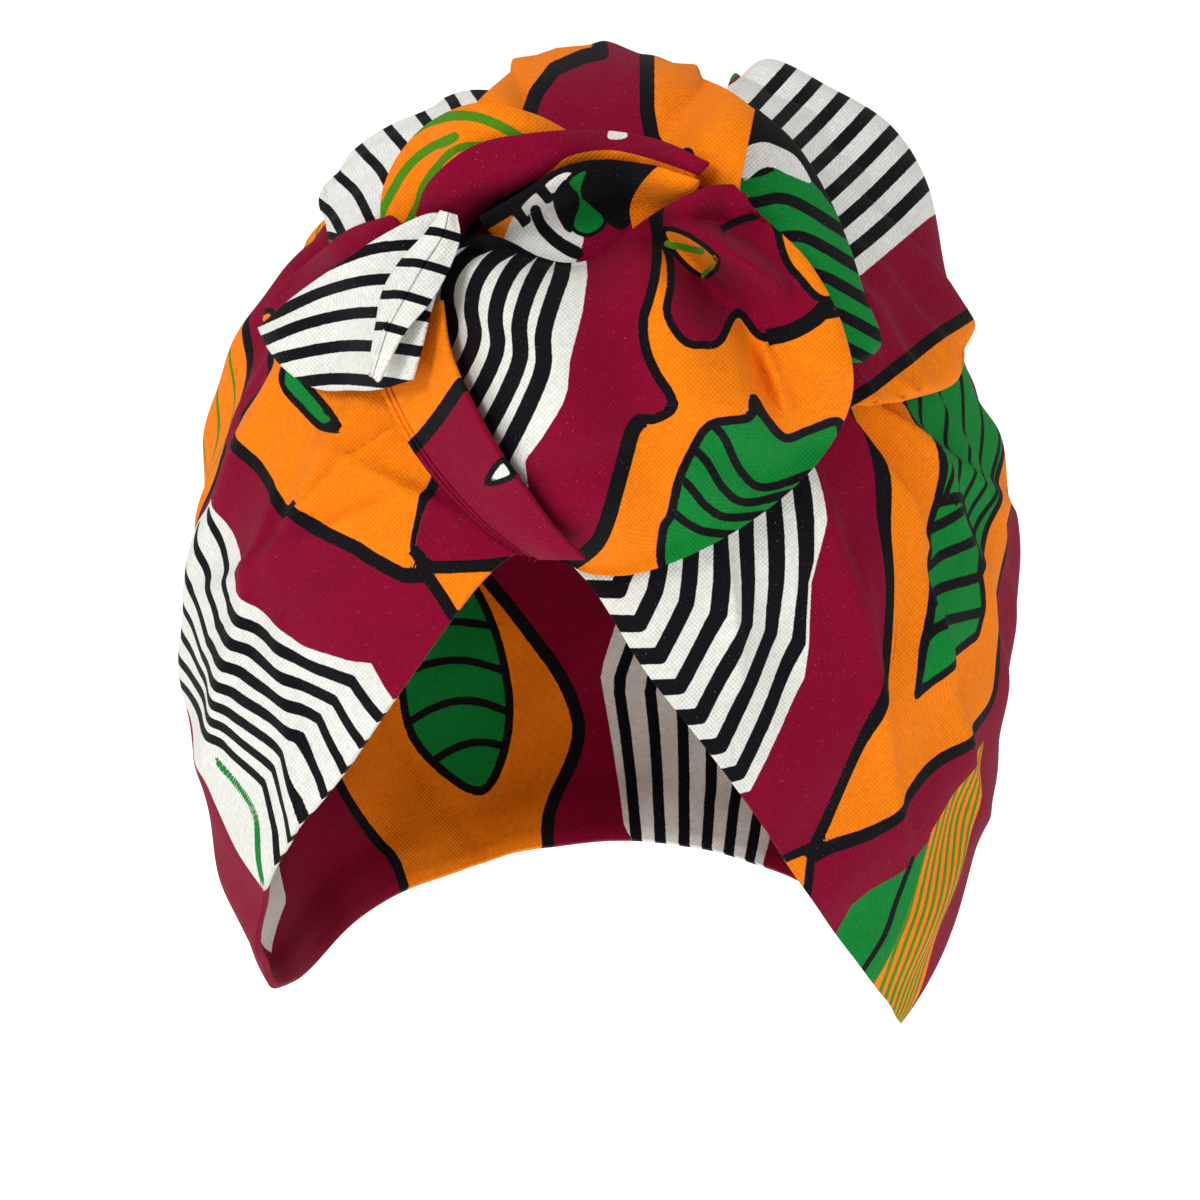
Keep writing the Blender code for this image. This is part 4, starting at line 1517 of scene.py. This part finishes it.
RIGHT_LOOP = Lobe("right_loop", LOOP, (
    Station(18, 89, 30, 99.5, 78, 66, 4), Station(22, 83, 39, 91.5, 80, 66, 6),
    Station(27, 75, 45.5, 81, 82, 66, 7), Station(31, 67, 49.8, 71, 82, 66, 7),
    Station(35, 59, 53, 61, 80, 65, 7), Station(38, 51.5, 56.3, 52, 78, 62, 6),
    Station(41, 47.5, 53, 47.5, 74, 61, 3),
), (
    Fold(36, 92, 54, 56, 3, 2, 0.6),
), (
    Area(GREEN, ((10, 115), (80, 115), (80, 30), (10, 30))),
    Stripes(BLACK, ((26, 79), (31, 79.5), (38, 80), (50, 73)), ((43, 54), (47.5, 51.5), (51.5, 49.4),
        (60, 45)), 5, 2.3, 2.3),
    Area(BLACK, ((14, 112), (14, 84), (29, 84), (38, 86.5), (43, 83), (50, 78), (50, 112))),
    Area(WHITE, ((28, 89.5), (32.3, 91.6), (35.9, 90.6), (39.4, 88.5), (42.2, 83.9), (41.5, 83.5),
        (37.9, 85), (34.3, 86.6), (31.8, 86), (28.7, 83.9))),
))
TOP_ROLL = Lobe("top_roll", HOOD, (
    Station(-28, 82, -28, 96, 66, 60, 17), Station(-20, 84, -21, 103, 67, 60, 22),
    Station(-11, 85, -12.5, 109, 68, 60, 27), Station(-1, 85, -2, 110.8, 69, 60, 29),
    Station(8, 85, 8, 108.4, 69, 60, 28), Station(17, 83, 18.5, 105, 68, 60, 25),
    Station(23, 81, 25.5, 102, 68, 61, 21), Station(27, 78, 31, 98, 68, 62, 16),
), (
    Fold(14, 100, 18, 84, 5, 3, 1), Fold(-10, 90, 15, 97, 4, -2.5, 1), Fold(-4, 102, 8, 86, 5, 2, 1),
), (
    Area(ORANGE, ((-40, 70), (-40, 122), (-2, 122), (0.3, 109.5), (-3.4, 108.7), (-9.1, 106.2),
        (-12.8, 101.4), (-14.2, 97.3), (-15, 90), (-15, 70)), 3, True),
    Area(ORANGE, ((9.4, 122), (9.4, 98), (10.5, 92), (16, 86), (20, 80), (20, 70), (44, 70), (44, 122)), 3,
        True),
    Area(BLACK, ((16.2, 89.8), (18.6, 90), (19, 85), (16.6, 85))),
))
LEFT_SWIRL = Lobe("left_swirl", LAP, (
    Station(-31, 72, -44, 75, 82, 68, 5), Station(-30, 78, -43.5, 82, 83, 68, 6),
    Station(-28, 83, -40, 89.5, 84, 68, 7), Station(-23, 86, -33.5, 96, 85, 69, 7),
    Station(-16, 87, -24, 99.5, 86, 71, 7), Station(-8, 87, -13, 97.2, 86, 74, 6),
    Station(0, 87, -5, 93, 86, 80, 4),
), (
    Fold(-36, 76, -14, 95, 2.5, 2.5, 0.7),
), (
    Area(ORANGE, ((-60, 60), (-60, 115), (10, 115), (10, 60))),
    Stroke(LIME, ((-38, 93.4), (-34.8, 95.4), (-29.8, 96.8), (-24.8, 96.6), (-20, 94.8), (-15, 92)), 2),
    Stroke(LIME, ((-44.5, 75), (-43.4, 78.2), (-41.2, 82.4), (-38.6, 86.4), (-34.6, 90), (-29, 92.8)), 1.8),
    Stroke(LIME, ((-39, 74.4), (-36.6, 78.8), (-35.4, 82.6), (-32.6, 86.6), (-28.8, 90.2), (-24, 91)), 1.6),
    Stroke(GREEN, ((-33.4, 75), (-33, 80), (-31.4, 84.4), (-28, 87.2), (-25, 89)), 1.3),
))
UPPER_ROLL = Lobe("upper_roll", LAP, (
    Station(-27, 69, -37, 77, 88, 84, 8), Station(-24, 75, -34, 84, 90, 84, 10),
    Station(-17, 80, -25, 91, 91, 86, 11), Station(-9, 84, -13, 93.5, 93, 88, 11),
    Station(0, 86, 0, 94, 94, 90, 10), Station(9, 85.5, 12, 92, 95, 92, 8),
    Station(18, 83, 22, 87.5, 95, 93, 5),
), (
    Fold(-26, 78, -8, 90, 3, -2, 1),
), (
    Area(ORANGE, ((7, 79), (11.4, 85), (20.6, 83.4), (29.8, 80), (32, 74), (24, 70), (8, 70))),
    Stroke(ORANGE, ((-12, 83), (-9, 85.4), (-5.8, 87.9), (1.1, 89.1), (8, 87.9), (16.8, 85), (20, 83.4)),
        1.8),
    Stroke(BLACK, ((-27, 70), (-25.4, 73.6), (-21.3, 78), (-15.2, 81.4), (-12, 83.4)), 2.4),
    Area(WHITE, ((1.8, 92.2), (5.2, 92.4), (5, 93.8), (2, 94))),
))
CORE_TWIST = Lobe("core_twist", LEAF, (
    Station(-18, 68, -24, 76, 84, 88, 2), Station(-12, 66, -16, 81, 84, 91, 3),
    Station(-5, 66, -9, 86, 84, 92, 4), Station(3, 67, 0, 88, 84, 92, 4),
    Station(11, 69, 10, 87, 84, 92, 3), Station(18, 72, 20, 84, 84, 92, 2),
), (
    Fold(-19, 69, -7, 84, 2, 5, 0.7), Fold(-12, 68, -3, 82, 2.4, 4.5, 0.7), Fold(0, 75, 12, 80, 4, 4, 1),
), (
    Area(BLACK, ((-28, 72), (-20, 84), (-8, 89), (4, 90), (14, 88), (10, 84), (-8, 84), (-17.6, 77),
        (-24, 70))),
    Area(ORANGE, ((-26, 72), (-16.6, 77.6), (-18, 70), (-24, 68)), 0, True),
    Area(WHITE, ((-20, 68), (-19.6, 71), (-16.6, 77.6), (-9, 84.6), (-5, 85), (-4.6, 80), (-3, 74),
        (-6, 66), (-14, 64))),
    Area(BLACK, ((-18, 77.8), (-15.4, 74.4), (-13.8, 75.6), (-16.2, 79.2)), 0, True),
    Area(BLACK, ((-14.6, 83.4), (-10.6, 79), (-8.9, 80.3), (-12.6, 84.8)), 0, True),
    Area(BLACK, ((-14, 78.2), (-12.6, 74), (-8.8, 70.2), (-4.4, 68), (-3.4, 70), (-7.4, 72.4),
        (-10.8, 75.6), (-12.2, 78.8))),
    Area(BLACK, ((-9.4, 80.4), (-5.6, 84.6), (-4.6, 75), (-7, 74))),
    Area(BLACK, ((-4, 85), (-2.2, 86.6), (4, 87), (12, 85), (8, 78), (4, 74), (-2, 79))),
    Area(GREEN, ((-6.6, 83.8), (-2.4, 86.2), (-3.4, 81.2), (1.2, 76.2), (-2, 73), (-5.6, 74.6), (-4.4, 80)),
        0.8),
    Area(ORANGE, ((6, 79), (14, 88), (26, 84), (22, 70), (10, 70))),
))
FRONT_LOBE = Lobe("front_lobe", LAP, (
    Station(-28, 72, -38, 55, 96, 78, 10), Station(-24, 72.5, -35, 38, 97, 78, 16),
    Station(-19, 71.5, -26, 21, 98, 86, 21), Station(-13, 69, -12, 8.5, 99, 92, 24),
    Station(-7, 67.5, 3, 4.8, 100, 92, 26), Station(-1, 68.5, 17, 8.5, 100, 88, 27),
    Station(5, 73, 32, 17, 100, 82, 27), Station(11, 77, 44, 28, 99, 74, 27),
    Station(16, 80, 50.5, 41, 98, 72, 24), Station(20, 82, 48.5, 55, 96, 74, 19),
    Station(24, 83, 41.5, 68, 95, 79, 13), Station(27, 83, 32, 77, 94, 86, 6),
), (
    Fold(8, 76, 33, 54, 4, -9, 1), Fold(29, 55, 36, 36, 2.5, -6, 0.5), Fold(13, 78, 44, 59, 3.4, 7, 0.7),
    Fold(18, 66, 24, 54, 4, -7, 1), Fold(-6, 60, -14, 30, 8, 4, 1), Fold(5, 50, 14, 12, 8, -4, 1),
    Fold(22, 40, 44, 34, 6, 3, 1), Fold(-12, 24, 10, 30, 5, -3, 0.6), Fold(14, 34, 40, 22, 4, -3, 0.7),
), (
    Area(ORANGE, ((10.4, 80), (11.4, 72), (11, 65), (9.6, 59.4), (8.6, 55.6), (9.2, 50), (11.4, 45),
        (13.8, 41.4), (14.6, 38.4), (11, 36.2), (7, 35.6), (5, 28), (3, 20), (0.8, 14), (-2, 10), (-7, 5),
        (-7, -4), (60, -4), (64, 60), (60, 90), (12, 90)), 2),
    Stroke(BLACK, ((9, 36.4), (6.6, 34), (4, 24.8), (0.8, 14), (-2.4, 9.6), (-8, 6)), 3.2),
    Area(BURGUNDY, ((11.8, 74), (13.8, 69), (14.2, 63.4), (13.4, 57.2), (16.8, 51.8), (20.6, 51),
        (24, 51.8), (27.6, 57.6), (33, 52.4), (43, 56.4), (52, 60), (44, 76), (36, 84), (24, 86), (14, 86)),
        1.6),
    Stroke(BLACK, ((33, 52.4), (38, 53.6), (43, 56.4), (46, 60)), 3.4),
    Stroke(BLACK, ((24, 74), (28, 76), (32, 77)), 1.6),
    Area(ORANGE, ((35, 78), (35.6, 73.5), (37, 68.5), (39.4, 65), (46, 60), (56, 70), (44, 84)), 1.6),
    Area(ORANGE, ((12.6, 74), (17.6, 73), (23.7, 68), (20.6, 64.7), (15.3, 69)), 1),
    Stroke(LIME, ((13.4, 71.2), (20.6, 69.7)), 1.4),
    Stroke(LIME, ((23.3, 68.4), (20.4, 65)), 1.4),
    Area(WHITE, ((-28, 78), (-18, 74.5), (-10, 71.5), (-6, 71), (-3, 71), (-2.5, 65), (-3.5, 57.5),
        (-6, 48), (-6.5, 42), (-7.5, 39), (-11.5, 32.5), (-15, 28), (-14, 19.5), (-19, 26.5), (-30, 40),
        (-44, 60), (-36, 80)), 0, True),
    Stripes(BLACK, ((-20, 77), (-22, 73.6), (-30.6, 70.6), (-34.8, 66.2), (-35.4, 61.6), (-34.2, 57),
        (-35, 54), (-38, 50)), ((-6.6, 70), (-7.2, 68), (-7.9, 64.5), (-9.8, 59), (-11.4, 53),
        (-11.4, 46.6), (-14.5, 38.6), (-19.8, 28)), 6, 2.6, 3.4),
    Area(GREEN, ((12.6, 14), (14.2, 17), (15.6, 23.4), (18, 29), (22, 35), (30, 36.6), (30.6, 40.4),
        (33, 36.6), (37, 32.4), (42, 34), (48, 35.4), (46, 27), (34, 17), (22, 8), (13, 6)), 1.8),
    Stripes(BLACK, ((20, 37), (24.5, 33), (28, 26), (33, 22.5), (44, 26)), ((11, 21), (14.6, 17.6),
        (18, 15), (22, 13.5), (30, 13)), 4, 1.7, 1.7, 0.8),
))
LEFT_LOOP_BACK = Lobe("left_loop_back", LEAF, (
    Station(-62, 50, -67.5, 56, 58, 52, 2), Station(-56, 54, -66, 61, 62, 54, 3),
    Station(-48, 60, -58.5, 67.5, 66, 58, 3), Station(-40, 65, -50.5, 74, 70, 62, 3),
    Station(-34, 68, -42, 77, 74, 68, 2),
), (), (
    Area(ORANGE, ((-70, 52), (-68, 57), (-65.4, 57.4), (-65, 52)), 1.2),
))
LEFT_ROLL = Lobe("left_roll", HEMMED_LAP, (
    Station(-32, 60, -45.5, 56, 88, 76, 4), Station(-30.5, 50, -45, 46, 92, 74, 7),
    Station(-26.5, 40.5, -41.5, 37, 96, 75, 9), Station(-21, 30.5, -36.5, 28.5, 98, 80, 9),
    Station(-15, 22, -29.5, 20, 100, 86, 9), Station(-9, 14, -22, 13, 100, 90, 8),
    Station(-3, 8, -14, 8, 99, 93, 5),
), (
    Fold(-40, 44, -30, 26, 2.5, 2.5, 0.6),
), (
    Area(ORANGE, ((-60, 80), (-60, 20), (-40, 28.6), (-37.4, 30.6), (-33, 35.6), (-28, 42.8), (-20, 54),
        (-20, 80)), 2.8),
    Area(WHITE, ((-22.6, 23.4), (-19.6, 28), (-17.6, 24.8)), 1.2),
    Stroke(BLACK, ((-50, 22), (-37.6, 30.4)), 2.8),
), cell=0.45 * MM)
LEFT_LOOP = Lobe("left_loop", LEAF, (
    Station(-67, 51, -68.5, 54.5, 64, 62, 1), Station(-63.5, 46.5, -61, 61, 68, 66, 4),
    Station(-57.5, 42.5, -52.5, 67, 74, 72, 6), Station(-51, 42, -43.5, 73, 80, 78, 7),
    Station(-45, 42, -35, 77, 86, 84, 7), Station(-38, 44, -29, 76.5, 92, 90, 5),
), (
    Fold(-60, 55, -38, 62, 5, 2, 1),
), (
    Area(WHITE, ((-80, 30), (-80, 90), (-20, 90), (-20, 30))),
    Stripes(BLACK, ((-60, 64), (-52, 68), (-44, 70.5), (-34, 71), (-26, 70)), ((-74, 40), (-66, 42.4),
        (-54, 44.2), (-44, 43.6), (-34, 42)), 5, 2.2, 2.4),
), ("left_loop_hem_cloth",))
LEFT_LOOP_HEM = Lobe("left_loop_hem", SEAMED_LAP, (
    Station(-44.5, 43.5, -46.5, 45.5, 88, 84, 2), Station(-40, 52.5, -45, 55, 94, 88, 3),
    Station(-34, 59.5, -43.5, 62, 97, 91, 4), Station(-30.5, 65.5, -40, 68, 99, 93, 4),
    Station(-28, 72, -35, 73.5, 99, 95, 4), Station(-28.5, 77, -32, 78, 97, 95, 3),
), (), (
    Area(WHITE, ((-60, 30), (-60, 90), (-10, 90), (-10, 30))),
    Stripes(BLACK, ((-40, 74.4), (-36, 74), (-31.5, 73.4), (-24, 71)), ((-50, 54), (-46, 54.6),
        (-42.5, 54.6), (-34, 52)), 4, 1.8, 1.8),
), cell=0.4 * MM)

LOBES = (
    BACK_LEFT_LOOP, BACK_RIGHT_LOOP, RIGHT_LOOP, TOP_ROLL, LEFT_SWIRL, UPPER_ROLL, CORE_TWIST,
    FRONT_LOBE, LEFT_LOOP_BACK, LEFT_ROLL, LEFT_LOOP, LEFT_LOOP_HEM,
)


# The studio


class Lamp(NamedTuple):
    """A soft square light: its name, its place and size in metres and its power in watts."""

    name: str
    place: tuple[float, float, float]
    size: float
    power: float


LAMPS = (
    Lamp("key_light", (-0.9, -1.3, 1.0), 0.6, 18),
    Lamp("fill_light", (1.2, -1.1, 0.4), 1.2, 5),
    Lamp("top_light", (0.0, 0.5, 1.5), 1.0, 7),
)


@dataclass(frozen=True)
class Studio:
    """A pale sweep, soft lights and the camera, square to the rosette."""

    lamps: tuple[Lamp, ...]
    distance: float = 850 * MM
    sensor: float = 36
    lens: float = 127.5
    floor_z: float = -300 * MM
    floor_size: float = 40
    floor_glow: float = 0.55
    floor_colour: str = "#F4F4F2"
    floor_roughness: float = 0.9
    room_light: float = 0.43
    room_glow: float = 0.5

    def build(self) -> None:
        """Builds the floor, the lights, the pale world and the camera."""
        bpy.context.scene.view_settings.view_transform = "Standard"
        self.build_floor()
        for lamp in self.lamps:
            self.add_light(lamp)
        self.build_world()
        self.add_camera()

    def build_world(self) -> None:
        """A pale room, which looks brighter to the camera than the light that it gives."""
        world = bpy.data.worlds.new("pale_room")
        bpy.context.scene.world = world
        world.use_nodes = True
        tree = world.node_tree
        seen = add_node(tree, "LightPath", output="Is Camera Ray")
        strength = add_node(
            tree, "Math", seen, self.room_glow, self.room_light, operation="MULTIPLY_ADD"
        )
        background = tree.nodes["Background"].inputs
        background["Color"].default_value = (1, 1, 1, 1)
        tree.links.new(strength, background["Strength"])

    def build_floor(self) -> None:
        """A pale matt floor, well below the wrap."""
        half = self.floor_size / 2
        corners = [(-half, -half), (half, -half), (half, half), (-half, half)]
        mesh = bpy.data.meshes.new("floor")
        mesh.from_pydata([(x, y, self.floor_z) for x, y in corners], [], [(0, 1, 2, 3)])
        material = bpy.data.materials.new("pale_paper")
        material.use_nodes = True
        shader = material.node_tree.nodes["Principled BSDF"].inputs
        shader["Base Color"].default_value = linear(self.floor_colour)
        shader["Roughness"].default_value = self.floor_roughness
        shader["Emission Color"].default_value = (1, 1, 1, 1)
        shader["Emission Strength"].default_value = self.floor_glow
        mesh.materials.append(material)
        floor = bpy.data.objects.new("floor", mesh)
        bpy.context.scene.collection.objects.link(floor)

    def add_light(self, lamp: Lamp) -> None:
        """A soft square light that faces the wrap.

        Args:
            lamp: the light.
        """
        data = bpy.data.lights.new(lamp.name, "AREA")
        data.size = lamp.size
        data.energy = lamp.power
        self.aim(lamp.name, data, lamp.place)

    def add_camera(self) -> None:
        """The camera of the front view."""
        data = bpy.data.cameras.new("camera")
        data.sensor_width = self.sensor
        data.lens = self.lens
        bpy.context.scene.camera = self.aim("camera", data, FACE.centre + FACE.out * self.distance)

    @staticmethod
    def aim(name: str, data: bpy.types.ID, place: Array | tuple) -> Object:
        """Puts a light or a camera in its place, turned along its offset from the rosette.

        Args:
            name: the object's name.
            data: the light or the camera.
            place: where it stands.

        Returns:
            The object.
        """
        aimed = bpy.data.objects.new(name, data)
        aimed.location = place
        offset = aimed.location - Vector(FACE.centre)
        aimed.rotation_euler = offset.to_track_quat("Z", "Y").to_euler()
        bpy.context.scene.collection.objects.link(aimed)
        return aimed


def main() -> None:
    """Builds the wrap from the crown up, then the studio round it."""
    logging.basicConfig(level=logging.INFO)
    Studio(LAMPS).build()
    cloth = Cloth(WaxPrintCotton())
    crown = CrownWrap(cloth, RIM, GATHERS, CROWN_FOLDS, CROWN_CHART)
    crown.build()
    layers = Layers()
    layers.lay(crown.measured)
    cuts = {lobe: lobe.build(cloth, crown, layers) for lobe in LOBES}


if __name__ == "__main__":
    main()
